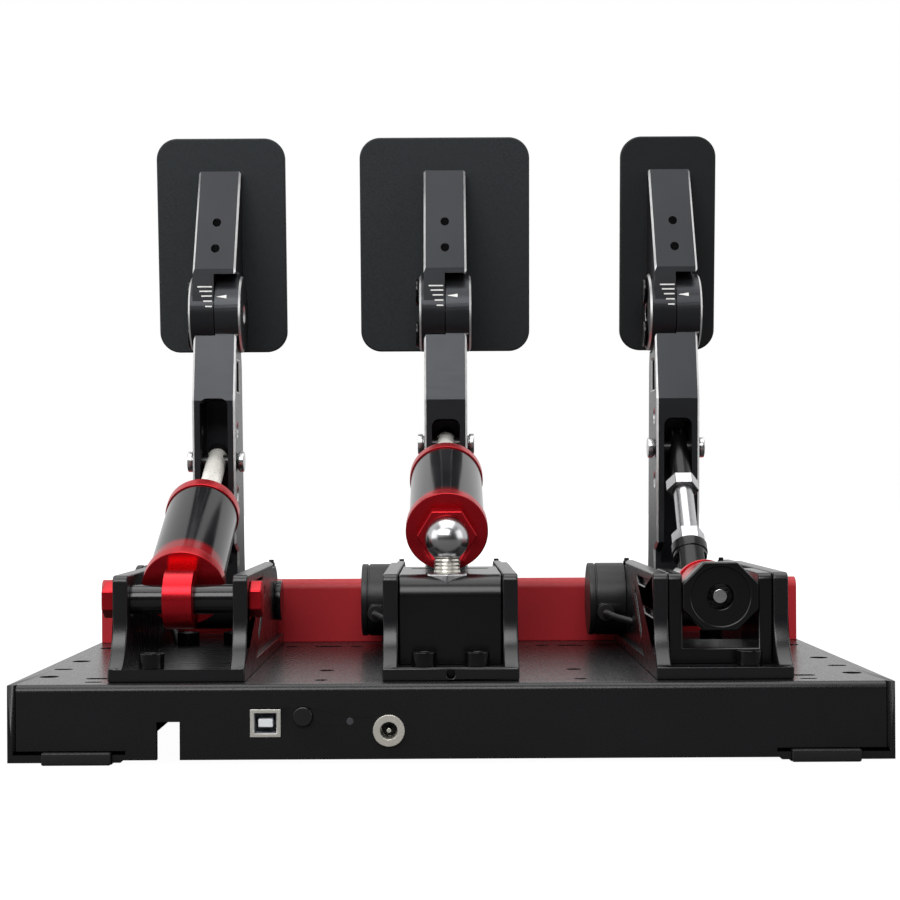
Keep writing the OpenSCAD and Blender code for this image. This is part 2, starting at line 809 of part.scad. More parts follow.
set_hole_r = 1.6;
set_hole_l = 6;
module bracket(i) {
    x = pedal_x(i);
    half = bracket_w / 2;
    color([0.1, 0.1, 0.1]) difference() {
        union() {
            for (s = SIDES) {
                across(s > 0 ? x + inner_half : x - half, bracket_wall) wall_outline();
            }
            place(bracket_near, 0, x - half) {
                cube([bracket_w, pivot_d + ear_r - bracket_near, bracket_plate]);
            }
        }
        for (s = SIDES) {
            across(s > 0 ? x + step_face : x - half - over, wall_step + over) step_outline();
            across(s > 0 ? x + half - louvre_cut : x - half - over, louvre_cut + over) {
                louvre_outline(i == THROTTLE);
            }
            across(s > 0 ? x + half - slit_cut : x - half - over, slit_cut + over) slit_outline();
            place(pivot_d, ear_top - wall_screw_l, x + s * wall_screw_x) {
                cylinder(h = 2 * wall_screw_l, r = wall_screw_r + seat);
            }
        }
        bar_x(pivot_d, pivot_h, x - half - over, bracket_w + 2 * over, bush_r + seat);
        bar_x(lead_hole_d, lead_hole_h, x - half - over, bracket_wall + 2 * over, lead_hole_r);
        place(lead_drop_d, -over, x + lead_drop_x) cylinder(h = bracket_plate + 2 * over, r = lead_hole_r);
        screw_holes(-over, bracket_plate + 2 * over);
        if (i == THROTTLE) {
            bar_x(cross_d, cross_h, x - half - over, bracket_w + 2 * over, cross_r + seat);
        }
        if (i == BRAKE) {
            place(bracket_near, bracket_plate / 2, x) bar_y(-over, set_hole_l + over, set_hole_r);
        }
    }
}

module pivot_bushes() {
    color([0.7, 0.55, 0.3]) for (i = PEDALS, s = SIDES) {
        place(pivot_d, pivot_h, pedal_x(i)) mirror([s > 0 ? 0 : 1, 0, 0]) rotate([0, 90, 0]) difference() {
            union() {
                translate([0, 0, inner_half]) cylinder(h = bracket_wall - wall_step, r = bush_r);
                translate([0, 0, inner_half - bush_flange_t]) cylinder(h = bush_flange_t, r = bush_flange_r);
            }
            translate([0, 0, inner_half - bush_flange_t - over]) {
                cylinder(h = bracket_wall + bush_flange_t + 2 * over, r = shaft_r + run_fit);
            }
        }
    }
}

// Sensor housing with its lid groove and lead gland
lid_groove = 0.6;
lid_t = 3;
sensor_bore_l = 12;
module sensor(i) {
    x = pedal_x(i);
    color([0.08, 0.08, 0.08]) difference() {
        union() {
            bar_x(pivot_d, pivot_h, x - sensor_reach, sensor_reach - step_face, sensor_r);
            place(pivot_d, lead_gland_h, x + lead_gland_x) bar_y(-sensor_r - gland_l, gland_l + sensor_r, gland_r);
        }
        bar_x(pivot_d, pivot_h, x - step_face - sensor_bore_l, sensor_bore_l + over, shaft_r + clear);
        place(pivot_d, pivot_h, x - sensor_reach + lid_t) rotate([0, 90, 0]) difference() {
            cylinder(h = lid_groove, r = sensor_r + over);
            cylinder(h = lid_groove, r = sensor_r - lid_groove);
        }
    }
}

// Sensor leads: a round tube swept along a smooth curve through the route's points
lead_start_l = 5;
function lead_head(i) = [
    [lead_gland_x, pivot_d - sensor_r - gland_l, lead_gland_h],
    [lead_gland_x, pivot_d - sensor_r - gland_l - lead_start_l, lead_gland_h],
    [-30.5, 134, 15.5],
    [-24, 129, lead_hole_h],
    [-19.4, 126.6, 12.5],
    [-16.6, 123.4, 8],
    [lead_drop_x, lead_drop_d, 2],
    [lead_drop_x, lead_drop_d, -4]];
function lead_route(i) = concat(
    [for (p = lead_head(i)) [p[0] + pedal_x(i), p[1] - tray_d / 2, tray_h + p[2]]],
    [for (p = lead_tails[i]) [p[0], p[1] - tray_d / 2, p[2]]],
    [for (b = [lead_start_l, 0]) [lead_ends_x[i], header_front + b, board_top + header_h / 2]]);
header_front = -tray_d / 2 + sheet_t + board_gap + board_d - 2 * post_edge;

function curve_at(a, b, c, e, t) = 0.5 * (2 * b + (c - a) * t + (2 * a - 5 * b + 4 * c - e) * t * t
    + (3 * b - a - 3 * c + e) * t * t * t);
function curve(p) = let (n = len(p)) concat(
    [for (k = [0 : n - 2], j = [0 : lead_steps - 1])
        curve_at(p[max(k - 1, 0)], p[k], p[k + 1], p[min(k + 2, n - 1)], j / lead_steps)],
    [p[n - 1]]);
function unit(v) = v / norm(v);
function tangents(p) = let (n = len(p))
    [for (k = [0 : n - 1]) unit(p[min(k + 1, n - 1)] - p[max(k - 1, 0)])];
function carry(v, t) = unit(v - (v * t) * t);
function normals(t) = [for (k = 0, v = carry([0, 0, 1], t[0]); k < len(t);
    k = k + 1, v = carry(v, t[min(k, len(t) - 1)])) v];

module swept_tube(route, r, sides) {
    p = curve(route);
    t = tangents(p);
    u = normals(t);
    rings = len(p);
    points = [for (k = [0 : rings - 1], j = [0 : sides - 1])
        p[k] + r * (cos(360 * j / sides) * u[k] + sin(360 * j / sides) * cross(t[k], u[k]))];
    walls = [for (k = [0 : rings - 2], j = [0 : sides - 1])
        let (a = k * sides + j, b = k * sides + (j + 1) % sides)
        each [[a, a + sides, b], [b, a + sides, b + sides]]];
    start = [for (j = [1 : sides - 2]) [0, j, j + 1]];
    last = (rings - 1) * sides;
    end = [for (j = [1 : sides - 2]) [last, last + j + 1, last + j]];
    polyhedron(points, concat(start, end, walls));
}

module sensor_leads() {
    color([0.1, 0.1, 0.1]) for (i = PEDALS) {
        swept_tube(lead_route(i), lead_r, lead_sides);
    }
}

// Arm outline in the side view, without its hub
rear_from_pin = 7;
kink_from_pin = 10.5;
front_top_from_pin = 20.5;
front_low_from_pin = 28;
heel_from_pin = 4.5;
neck_from_hub = [13.5, 5.3];
arm_rear_low = [pin_d - rear_from_pin, 50];
arm_kink = [pin_d - kink_from_pin, 117];
arm_front_top = [pin_d + front_top_from_pin, 134];
arm_neck = [hub_d, hub_h] - neck_from_hub;
arm_front_low = [pin_d + front_low_from_pin, 46];
arm_heel = [pin_d + heel_from_pin, 46];
slot_bottom_h = 40;
slot_past_pin = 15;
slot_depth_d = pin_d + slot_past_pin;
slot_round = 3.5;
spare_hole_step = 15;
pocket_cut = 2.5;
arm_pocket = [[-2, 122], [14, 122], [13, 136], [-1, 136]];
clamp_screw_at = 10;
clamp_screw_r = 2;
clamp_head_r = 6.4;
clamp_head_t = 1.4;
clamp_play_r = 4.4;
axle_r = 4;
module arm_outline() {
    polygon([[pivot_d - boss_r, pivot_h], [pivot_d + boss_r, pivot_h], arm_front_low, arm_front_top,
        [hub_d, hub_h], arm_neck, arm_kink, arm_rear_low, arm_heel]);
    translate([pivot_d, pivot_h]) circle(boss_r);
}

module arm(i) {
    x = arm_x(i);
    half = arm_w / 2;
    color([0.16, 0.16, 0.17]) difference() {
        union() {
            across(x - half, arm_w) arm_outline();
            bar_x(pivot_d, pivot_h, x - boss_left, boss_left + boss_right, boss_r);
            bar_x(hub_d, hub_h, x + clear / 2, hub_w / 2 - clear / 2, hub_r);
        }
        bar_x(hub_d, hub_h, x - hub_w, hub_w + clear / 2, hub_r + clear);
        arm_slot(i);
        bar_x(pivot_d, pivot_h, x - bracket_w, 2 * bracket_w, shaft_r + seat);
        for (k = [-1, 0, 1]) {
            bar_x(pin_d, pin_h[i] + k * spare_hole_step, x - half - over, arm_w + 2 * over, pin_r + seat);
        }
        for (s = SIDES) {
            across(s > 0 ? x + half - pocket_cut : x - half - over, pocket_cut + over) {
                translate([pin_d, 0]) polygon(arm_pocket);
            }
            place(hub_d, hub_h + s * clamp_screw_at, x) rotate([0, 90, 0]) {
                cylinder(h = hub_w / 2 - over, r = clamp_screw_r + seat);
            }
        }
        bar_x(hub_d, hub_h, x - over, hub_w, axle_r + seat);
    }
}

// The slot for the rod, with round upper corners seen from the rear
module arm_slot(i) {
    half = slot_w / 2;
    place(0, slot_bottom_h, arm_x(i)) rotate([-90, 0, 0]) mirror([0, 1, 0]) linear_extrude(slot_depth_d) {
        tall = slot_top_h[i] - slot_bottom_h;
        translate([-half, 0]) square([slot_w, tall - slot_round]);
        translate([-half + slot_round, 0]) square([slot_w - 2 * slot_round, tall]);
        for (s = SIDES) {
            translate([s * (half - slot_round), tall - slot_round]) circle(slot_round);
        }
    }
}

// Pivot shaft with the collar that keeps it in its bushes
collar_t = 3;
collar_r = 9.5;
shaft_end_gap = 1;
module shaft(i) {
    x = pedal_x(i);
    left = step_face + sensor_bore_l - shaft_end_gap;
    color([0.6, 0.6, 0.6]) {
        bar_x(pivot_d, pivot_h, x - left, left + step_face + clear + collar_t, shaft_r);
        bar_x(pivot_d, pivot_h, x + step_face + clear, collar_t, collar_r);
    }
}

// Arm pin with a grooved head on each side
pin_groove = 0.8;
module arm_pin(i) {
    x = arm_x(i);
    half = arm_w / 2;
    color([0.8, 0.8, 0.8]) {
        bar_x(pin_d, pin_h[i], x - half - pin_head_h, arm_w + 2 * pin_head_h, pin_r);
        for (s = SIDES) {
            bar_x(pin_d, pin_h[i], x + (s > 0 ? half : -half - pin_groove), pin_groove, pin_head_r - pin_groove);
            bar_x(pin_d, pin_h[i], x + (s > 0 ? half + pin_groove : -half - pin_head_h),
                pin_head_h - pin_groove, pin_head_r);
        }
    }
}

// Tilt axle and the two clamp screws of the hub
module hub_bolts(i) {
    x = arm_x(i);
    face = x - hub_w / 2;
    color([0.13, 0.13, 0.13]) {
        bar_x(hub_d, hub_h, face, hub_w - over, axle_r);
        for (s = SIDES) {
            bar_x(hub_d, hub_h + s * clamp_screw_at, face - clamp_head_t - clear, clamp_head_t, clamp_head_r);
            bar_x(hub_d, hub_h + s * clamp_screw_at, face - clear - over, hub_w - clamp_head_t, clamp_screw_r);
        }
    }
}

// Places its children in the pad's own frame: hub axis at the origin, Y across to the pad, Z up along it
module on_pad(i) {
    place(hub_d, hub_h, arm_x(i)) rotate([pad_tilt, 0, 0]) children();
}

// Pad holder outline in the pad's frame, above the hub
holder_rear = [-14.4, 21.4];
holder_foot = [-17.4, 4.5];
pad_screw_r = 2;
pad_screw_z = [31, 43.4];
pad_screw_head_r = 3.8;
pad_screw_head_t = 2;
pad_screw_gap = 1.5;
module pad_holder(i) {
    half = arm_w / 2;
    color([0.26, 0.26, 0.26]) difference() {
        union() {
            on_pad(i) translate([-half, 0, 0]) rotate([90, 0, 90]) linear_extrude(arm_w) {
                polygon([holder_foot, holder_rear, [pad_offset - holder_tip_t, holder_rise],
                    [pad_offset, holder_rise], [pad_offset, hub_r / 2], [0, 0]]);
            }
            bar_x(hub_d, hub_h, arm_x(i) - hub_w / 2, hub_w / 2 - clear / 2, hub_r);
        }
        bar_x(hub_d, hub_h, arm_x(i) - clear / 2, hub_w, hub_r + clear);
        on_pad(i) translate([-clear / 2, -2 * hub_r, -hub_r]) cube([hub_w, 2 * hub_r, 2 * (hub_r + clear)]);
        bar_x(hub_d, hub_h, arm_x(i) - hub_w, 2 * hub_w, axle_r + run_fit);
        for (s = SIDES) {
            bar_x(hub_d, hub_h + s * clamp_screw_at, arm_x(i) - hub_w, 2 * hub_w, clamp_play_r);
        }
        on_pad(i) for (z = pad_screw_z) {
            translate([0, 0, z]) bar_y(-hub_r, 2 * hub_r + pad_offset, pad_screw_r + seat);
        }
    }
}

// Grip grooves in the pad's driver face
grip_count = 7;
grip_w = 3;
grip_edge = 9;
module pad(i) {
    color([0.15, 0.16, 0.17]) on_pad(i) translate([0, pad_offset, pad_h / 2 - pad_drop]) difference() {
        rotate([-90, 0, 0]) round_plate(pad_w[i], pad_h, pad_t, pad_corner_r);
        for (k = [0 : grip_count - 1]) {
            translate([0, pad_t, (k - (grip_count - 1) / 2) * (pad_h - 2 * pad_corner_r) / grip_count]) {
                rotate([90, 0, 0]) translate([0, 0, -over]) linear_extrude(grip_cut + over) {
                    stadium(pad_w[i] - 2 * grip_edge, grip_w);
                }
            }
        }
        for (z = pad_screw_z) {
            translate([0, 0, z - pad_h / 2 + pad_drop]) {
                bar_y(-over, pad_t + 2 * over, pad_screw_r + seat);
                bar_y(pad_t - pad_screw_head_t, pad_screw_head_t + over, pad_screw_head_r + seat);
            }
        }
    }
}

// Pad screws, each ending a little below the holder's rear face
function holder_depth(z) = pad_offset - holder_tip_t + (holder_rise - z)
    * (holder_rear[0] - pad_offset + holder_tip_t) / (holder_rise - holder_rear[1]);
module pad_screws(i) {
    color([0.5, 0.5, 0.5]) on_pad(i) for (z = pad_screw_z) {
        from = holder_depth(z) + pad_screw_gap;
        translate([0, 0, z]) {
            bar_y(from, pad_offset + pad_t - from, pad_screw_r);
            bar_y(pad_offset + pad_t - pad_screw_head_t, pad_screw_head_t, pad_screw_head_r);
        }
    }
}

// Places its children along a strut, with the lower joint at the origin and Y towards the arm pin
module on_strut(i) {
    foot = strut_foot(i);
    place(foot[0], foot[1], strut_x(i)) rotate([strut_angle(i), 0, 0]) children();
}

module ring_y(y0, l, outer, inner) {
    difference() {
        bar_y(y0, l, outer);
        bar_y(y0 - over, l + 2 * over, inner);
    }
}

eye_side_gap = 0.5;
module strut_rod(i) {
    l = strut_len(i);
    color([0.8, 0.78, 0.74]) on_strut(i) difference() {
        union() {
            bar_y(piston_at, l + rod_past - piston_at, rod_r);
            bar_y(piston_at, piston_t, tube_bore_r - piston_gap);
        }
        translate([-slot_w, l, 0]) rotate([0, 90, 0]) cylinder(h = 2 * slot_w, r = pin_r + run_fit);
    }
}

module strut_tube(i) {
    color([0.05, 0.05, 0.05]) on_strut(i) ring_y(tube_from(i), tube_l[i], tube_r, tube_bore_r);
}

module strut_cap(i) {
    bore = rod_r + rod_play;
    to = tube_to(i);
    on_strut(i) {
        color([0.75, 0.1, 0.15]) difference() {
            union() {
                bar_y(to, flange_t, cap_r);
                bar_y(to - spigot_l, spigot_l + over, tube_bore_r - spigot_gap);
            }
            bar_y(to - spigot_l - over, flange_t + spigot_l + 2 * over, bore);
        }
        color([0.8, 0.8, 0.8]) difference() {
            hex_y(to + flange_t + seat, gland_nut_t, gland_nut_r);
            bar_y(to, flange_t + gland_nut_t + 2 * over, bore);
        }
    }
}

lower_eye_w = 12;
module throttle_tube_eye() {
    face = eye_flange_at;
    color([0.75, 0.1, 0.15]) on_strut(THROTTLE) difference() {
        union() {
            translate([-lower_eye_w / 2, 0, 0]) rotate([0, 90, 0]) cylinder(h = lower_eye_w, r = lower_eye_r);
            translate([-lower_eye_w / 2, 0, -lower_eye_w / 2]) cube([lower_eye_w, face + over, lower_eye_w]);
            bar_y(face, flange_t, flange_r);
            bar_y(face, flange_t + spigot_l, tube_bore_r - spigot_gap);
        }
        translate([-lower_eye_w, 0, 0]) rotate([0, 90, 0]) cylinder(h = 2 * lower_eye_w, r = cross_r + run_fit);
    }
}

module throttle_spring() {
    from = tube_from(THROTTLE) + spigot_l;
    color([0.6, 0.6, 0.6]) on_strut(THROTTLE) ring_y(from, piston_at - from, spring_out_r, spring_in_r);
}

cap_proud = 5.15;
cap_hex_r = 7.6;
module throttle_cross_pin() {
    color([0.06, 0.06, 0.06]) {
        bar_x(cross_d, cross_h, pedal_x(THROTTLE) - bracket_w / 2, bracket_w, cross_r);
    }
}

module throttle_pin_caps() {
    color([0.75, 0.1, 0.15]) for (s = SIDES) {
        place(cross_d, cross_h, pedal_x(THROTTLE) + (s > 0 ? bracket_w / 2 : -bracket_w / 2 - cap_proud)) {
            rotate([0, 90, 0]) cylinder(h = cap_proud, r = cap_hex_r, $fn = HEX);
        }
    }
}

// Load cell block with a round upper edge and a pocket for the stud's nut
cell_round = 9;
cell_side_gap = 0.3;
stud_nut_r = 9.3;
stud_nut_t = 6;
stud_depth = 24;
cell_slot = [32, 5, 1.5];
cell_slot_d = 78;
module brake_load_cell() {
    half = inner_half - cell_side_gap;
    x = pedal_x(BRAKE);
    color([0.1, 0.1, 0.1]) difference() {
        across(x - half, 2 * half) {
            translate([cell_near, bracket_plate]) {
                square([cell_far - cell_near, cell_top - bracket_plate - cell_round]);
            }
            translate([cell_near + cell_round, bracket_plate]) {
                square([cell_far - cell_near - cell_round, cell_top - bracket_plate]);
            }
            translate([cell_near + cell_round, cell_top - cell_round]) circle(cell_round);
        }
        place(ball_d, cell_top - stud_nut_t, arm_x(BRAKE)) rotate(HEX_TURN) {
            cylinder(h = stud_nut_t + over, r = stud_nut_r + seat, $fn = HEX);
        }
        place(ball_d, cell_top - stud_depth, arm_x(BRAKE)) cylinder(h = stud_depth, r = stud_r + seat);
        place(cell_slot_d, cell_top - cell_slot[2], x - cell_slot[0] / 2) cube(cell_slot + [0, 0, over]);
    }
}

module brake_ball_stud() {
    stud_low = cell_top - stud_depth;
    color([0.8, 0.8, 0.8]) {
        place(ball_d, ball_h, arm_x(BRAKE)) sphere(ball_r);
        place(ball_d, stud_low, arm_x(BRAKE)) cylinder(h = ball_h - stud_low, r = stud_r);
        place(ball_d, cell_top - stud_nut_t, arm_x(BRAKE)) rotate(HEX_TURN) difference() {
            cylinder(h = stud_nut_t, r = stud_nut_r, $fn = HEX);
            translate([0, 0, -over]) cylinder(h = stud_nut_t + 2 * over, r = stud_r + seat);
        }
    }
}

// Ball socket: a hexagonal cup that starts clear of the stud
socket_from = stud_r * cos(strut_angle(BRAKE)) - sqrt(ball_r * ball_r - stud_r * stud_r)
    * sin(strut_angle(BRAKE)) + 2 * socket_lip;
cup_r = sqrt(ball_r * ball_r - socket_from * socket_from) + ball_gap;
module brake_ball_socket() {
    face = socket_flange_at;
    color([0.75, 0.1, 0.15]) on_strut(BRAKE) difference() {
        union() {
            hex_y(socket_from, face - socket_from + over, socket_hex_r);
            bar_y(face, flange_t, flange_r);
            bar_y(face, flange_t + spigot_l, tube_bore_r - spigot_gap);
        }
        bar_y(socket_from - over, ball_r + ball_gap - socket_from + over, cup_r);
    }
}

module brake_elastomers() {
    from = tube_from(BRAKE) + spigot_l;
    t = (piston_at - from) / elastomer_count;
    color([0.2, 0.2, 0.2]) on_strut(BRAKE) for (k = [0 : elastomer_count - 1]) {
        bar_y(from + k * t, t - seat, elastomer_r);
    }
}

// Clutch inner frame: a channel open at the top
frame_side_gap = 0.3;
frame_near = screw_near_d + screw_head_r + over;
frame_top_gap = 0.2;
frame_top = bracket_h - frame_top_gap;
module clutch_frame() {
    x = pedal_x(CLUTCH);
    out = inner_half - frame_side_gap;
    inside = inner_half - frame_wall;
    color([0.09, 0.09, 0.09]) difference() {
        across(x - out, 2 * out) {
            translate([frame_near, bracket_plate]) {
                square([frame_far - frame_near, frame_top - bracket_plate - top_round]);
            }
            translate([frame_near + top_round, bracket_plate]) {
                square([frame_far - frame_near - top_round, frame_top - bracket_plate]);
            }
            translate([frame_near + top_round, frame_top - top_round]) circle(top_round);
        }
        place(frame_near - over, bracket_plate + frame_floor, x - inside) {
            cube([2 * inside, frame_far - frame_near + 2 * over, bracket_h]);
        }
    }
}

// Clutch parts that lie along the plunger's axis
module on_plunger() {
    place(0, plunger_h, strut_x(CLUTCH)) children();
}

module clutch_end_block() {
    w = inner_half - frame_wall - seat;
    low = plunger_h - block_h / 2;
    x = pedal_x(CLUTCH);
    c = block_chamfer;
    color([0.09, 0.09, 0.09]) difference() {
        place(block_near, 0, x) rotate([90, 0, 0]) mirror([0, 0, 1]) linear_extrude(block_t) {
            polygon([[-w, low + c], [-w + c, low], [w - c, low], [w, low + c], [w, low + block_h - c],
                [w - c, low + block_h], [-w + c, low + block_h], [-w, low + block_h - c]]);
        }
        on_plunger() {
            bar_y(block_near - over, block_t + 2 * over, guide_hole_r);
            bar_y(block_near - over, ring_recess + over, ring_recess_r);
        }
    }
}

module clutch_spring_tube() {
    color([0.75, 0.1, 0.15]) on_plunger() difference() {
        union() {
            bar_y(tube_near, frame_far - tube_near, clutch_tube_r);
            bar_y(frame_far, clutch_flange_t, clutch_flange_r);
        }
        bar_y(tube_near - over, frame_far - tube_near + clutch_flange_t + 2 * over, clutch_bore_r);
    }
}

// Clutch plunger: guide rod, piston and a slotted head for the rod end's pin
plunger_pin_r = 3;
module clutch_plunger() {
    bore = clutch_bore_r;
    color([0.75, 0.75, 0.75]) on_plunger() {
        difference() {
            union() {
                bar_y(block_near + 2 * over, plunger_d - block_near - plunger_r, guide_r);
                bar_y(piston_far - clutch_piston_t, clutch_piston_t, bore - 2 * clear);
                bar_y(piston_far - clutch_piston_t, plunger_d - piston_far, rod_r);
                intersection() {
                    bar_y(plunger_d - plunger_r - clutch_piston_t, 2 * plunger_r + clutch_piston_t, plunger_r);
                    translate([-plunger_r, plunger_d, 0]) rotate([0, 90, 0]) {
                        cylinder(h = 2 * plunger_r, r = plunger_r + clutch_piston_t);
                    }
                }
            }
            translate([-plunger_slot / 2, plunger_d - plunger_r, -2 * plunger_r]) {
                cube([plunger_slot, 4 * plunger_r, 4 * plunger_r]);
            }
        }
        translate([-plunger_r + over, plunger_d, 0]) rotate([0, 90, 0]) {
            cylinder(h = 2 * (plunger_r - over), r = plunger_pin_r);
        }
    }
}

module clutch_spring() {
    bore = clutch_bore_r;
    color([0.6, 0.6, 0.6]) on_plunger() {
        ring_y(tube_near, piston_far - clutch_piston_t - tube_near, bore - clear, bore - 3 * clear - over);
    }
}

// Clutch push rod: lower rod end, nut, chrome rod, nut and upper rod end
step_ring_at = 17.3;
step_ring_proud = 0.5;
flat_past = 5;
flat_to = plunger_r + flat_past;
module clutch_rod_ends() {
    l = strut_len(CLUTCH);
    eye_w = plunger_slot - 2 * eye_side_gap;
    color([0.08, 0.08, 0.08]) on_strut(CLUTCH) {
        difference() {
            union() {
                translate([-eye_w / 2, 0, 0]) rotate([0, 90, 0]) cylinder(h = eye_w, r = sleeve_r);
                intersection() {
                    bar_y(0, lower_sleeve_to, sleeve_r);
                    translate([-eye_w / 2, -sleeve_r, -sleeve_r]) cube([eye_w, 2 * flat_to, 2 * sleeve_r]);
                }
                bar_y(flat_to, lower_sleeve_to - flat_to, sleeve_r);
                bar_y(step_ring_at, lower_sleeve_to - step_ring_at, sleeve_r + step_ring_proud);
            }
            translate([-slot_w, 0, 0]) rotate([0, 90, 0]) cylinder(h = 2 * slot_w, r = plunger_pin_r + run_fit);
            bar_y(lower_sleeve_to - rod_insert, rod_insert + over, push_rod_r + seat);
        }
        difference() {
            bar_y(upper_nut_to, l + rod_end_past - upper_nut_to, upper_sleeve_r);
            translate([-slot_w, l, 0]) rotate([0, 90, 0]) cylinder(h = 2 * slot_w, r = pin_r + run_fit);
        }
    }
}

module clutch_push_rod() {
    rod_from = lower_sleeve_to - rod_insert;
    color([0.85, 0.85, 0.85]) on_strut(CLUTCH) {
        bar_y(rod_from, upper_nut_to - seat - rod_from, push_rod_r);
        difference() {
            union() {
                hex_y(lower_sleeve_to, lower_nut_to - lower_sleeve_to, rod_nut_r);
                hex_y(upper_nut_from, upper_nut_to - upper_nut_from, rod_nut_r);
            }
            bar_y(lower_sleeve_to - over, upper_nut_to - lower_sleeve_to + 2 * over, push_rod_r + seat);
        }
    }
}

base_tray();
heel_rest();
feet();
control_board();
board_posts();
usb_socket();
dc_jack();
status_light();
base_screws();
pivot_bushes();
sensor_leads();
bracket(THROTTLE);  // throttle_bracket
bracket(BRAKE);  // brake_bracket
bracket(CLUTCH);  // clutch_bracket
sensor(THROTTLE);  // throttle_sensor
sensor(BRAKE);  // brake_sensor
sensor(CLUTCH);  // clutch_sensor
throttle_cross_pin();
throttle_pin_caps();
brake_load_cell();
brake_ball_stud();
clutch_frame();
clutch_end_block();
clutch_spring_tube();
push_button();
arm(THROTTLE);  // throttle_arm
shaft(THROTTLE);  // throttle_shaft
arm_pin(THROTTLE);  // throttle_arm_pin
hub_bolts(THROTTLE);  // throttle_hub_bolts
arm(BRAKE);  // brake_arm
shaft(BRAKE);  // brake_shaft
arm_pin(BRAKE);  // brake_arm_pin
hub_bolts(BRAKE);  // brake_hub_bolts
arm(CLUTCH);  // clutch_arm
shaft(CLUTCH);  // clutch_shaft
arm_pin(CLUTCH);  // clutch_arm_pin
hub_bolts(CLUTCH);  // clutch_hub_bolts
pad_holder(THROTTLE);  // throttle_pad_holder
pad(THROTTLE);  // throttle_pad
pad_screws(THROTTLE);  // throttle_pad_screws
pad_holder(BRAKE);  // brake_pad_holder
pad(BRAKE);  // brake_pad
pad_screws(BRAKE);  // brake_pad_screws
pad_holder(CLUTCH);  // clutch_pad_holder
pad(CLUTCH);  // clutch_pad
pad_screws(CLUTCH);  // clutch_pad_screws
strut_rod(THROTTLE);  // throttle_rod
strut_tube(THROTTLE);  // throttle_tube
strut_cap(THROTTLE);  // throttle_tube_cap
throttle_tube_eye();
throttle_spring();
strut_rod(BRAKE);  // brake_rod
strut_tube(BRAKE);  // brake_tube
strut_cap(BRAKE);  // brake_tube_cap
brake_ball_socket();
brake_elastomers();
clutch_rod_ends();
clutch_push_rod();
clutch_plunger();
clutch_spring();
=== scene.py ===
"""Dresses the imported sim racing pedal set: eased edges, finishes, tilt scales, leads and a plain stage."""
import json
from math import cos, pi, radians, sin, tan

import bmesh
import bpy
from mathutils import Matrix, Vector


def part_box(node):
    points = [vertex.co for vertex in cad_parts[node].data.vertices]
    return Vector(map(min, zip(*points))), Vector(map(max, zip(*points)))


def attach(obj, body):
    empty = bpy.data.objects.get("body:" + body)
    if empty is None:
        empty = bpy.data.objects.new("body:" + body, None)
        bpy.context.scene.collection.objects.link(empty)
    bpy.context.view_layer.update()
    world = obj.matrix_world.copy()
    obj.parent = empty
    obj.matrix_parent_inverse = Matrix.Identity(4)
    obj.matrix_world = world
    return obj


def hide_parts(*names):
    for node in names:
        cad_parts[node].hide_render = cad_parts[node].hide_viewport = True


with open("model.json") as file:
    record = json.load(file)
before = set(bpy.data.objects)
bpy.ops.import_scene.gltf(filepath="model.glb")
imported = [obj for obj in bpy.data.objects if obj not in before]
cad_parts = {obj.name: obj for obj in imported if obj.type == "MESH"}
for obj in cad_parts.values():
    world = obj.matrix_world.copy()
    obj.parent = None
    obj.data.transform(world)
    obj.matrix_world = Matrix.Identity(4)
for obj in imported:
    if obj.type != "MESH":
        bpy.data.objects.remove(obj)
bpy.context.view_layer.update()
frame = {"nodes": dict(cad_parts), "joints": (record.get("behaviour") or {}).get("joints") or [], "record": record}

bl_info = {
    "name": "Sim racing pedal set",
    "version": (1, 0, 0),
    "blender": (4, 5, 0),
    "location": "View3D > Sidebar > Pedals",
    "description": "Dresses the packed pedal set and builds its stage",
    "category": "Object",
}

RECORD = frame["record"]
BODIES = RECORD["behaviour"]["bodies"]
JOINTS = {joint["name"]: joint for joint in frame["joints"]}
SLOTS = {part["node"]: part["material_slot"] for part in RECORD["subparts"]}
PEDALS = ("throttle", "brake", "clutch")
MM = 0.001
REAR_WALL = -0.1425
TRAY_TOP = 0.031

# Merging distances and the angles that part flat, smooth and eased edges
MERGE_DIST = 0.002 * MM
LEAD_MERGE_DIST = 0.01 * MM
FLAT_ANGLE = radians(0.6)
EASED_ANGLE = radians(35)
SMOOTH_ANGLE = radians(32)
ARM_SMOOTH_ANGLE = radians(12)

# Side faces of the arms and hubs, measured from the arm's middle, where the bright chamfers are
ARM_SHIFT = -1.2 * MM
SIDE_FROM = 9.5 * MM
HUB_SIDE_FROM = 11.6 * MM
RIM_OVER_HUB = 10.0 * MM
SAME_SIDE = 0.02 * MM

# Hub and the marks of its tilt scale, seen from the rear, with angles in degrees
HUB_R = 18.2 * MM
HOLDER_FACE = 17.97 * MM
HOLDER_LEAN = radians(4.28)
INK_T = 0.06 * MM
SCALE_ANGLES = (38.6, 30.5, 22.5, 14.5, 6.5)
SCALE_GAP = 0.9 * MM
SCALE_LONGEST = 6.8 * MM
SCALE_STEP = 0.93 * MM
SCALE_LINE = 0.62 * MM
POINTER_ANGLE = 21.6
POINTER_TIP = 1.2 * MM
POINTER_LENGTH = 4.6 * MM
POINTER_HEIGHT = 1.8 * MM
POINTER_BLUNT = 0.1 * POINTER_HEIGHT

# Joints at the lower ends of the struts
FOOT_JOINTS = {"throttle": "throttle_foot_pin", "brake": "brake_ball_joint"}

# Share of a strut's length from which its rod is black
ROD_BLACK_FROM = 1.035

# Painted reflection of the red lower flange on each tube: share of the red, and the reach along the strut over
# which it fades
TUBE_PAINTED_REFLECTIONS = {"throttle": (0.42, 21.0 * MM, 24.5 * MM), "brake": (0.3, 14.0 * MM, 21.0 * MM)}

# Half width of an arm pin's blackened middle
PIN_DARK_HALF = 9.0 * MM

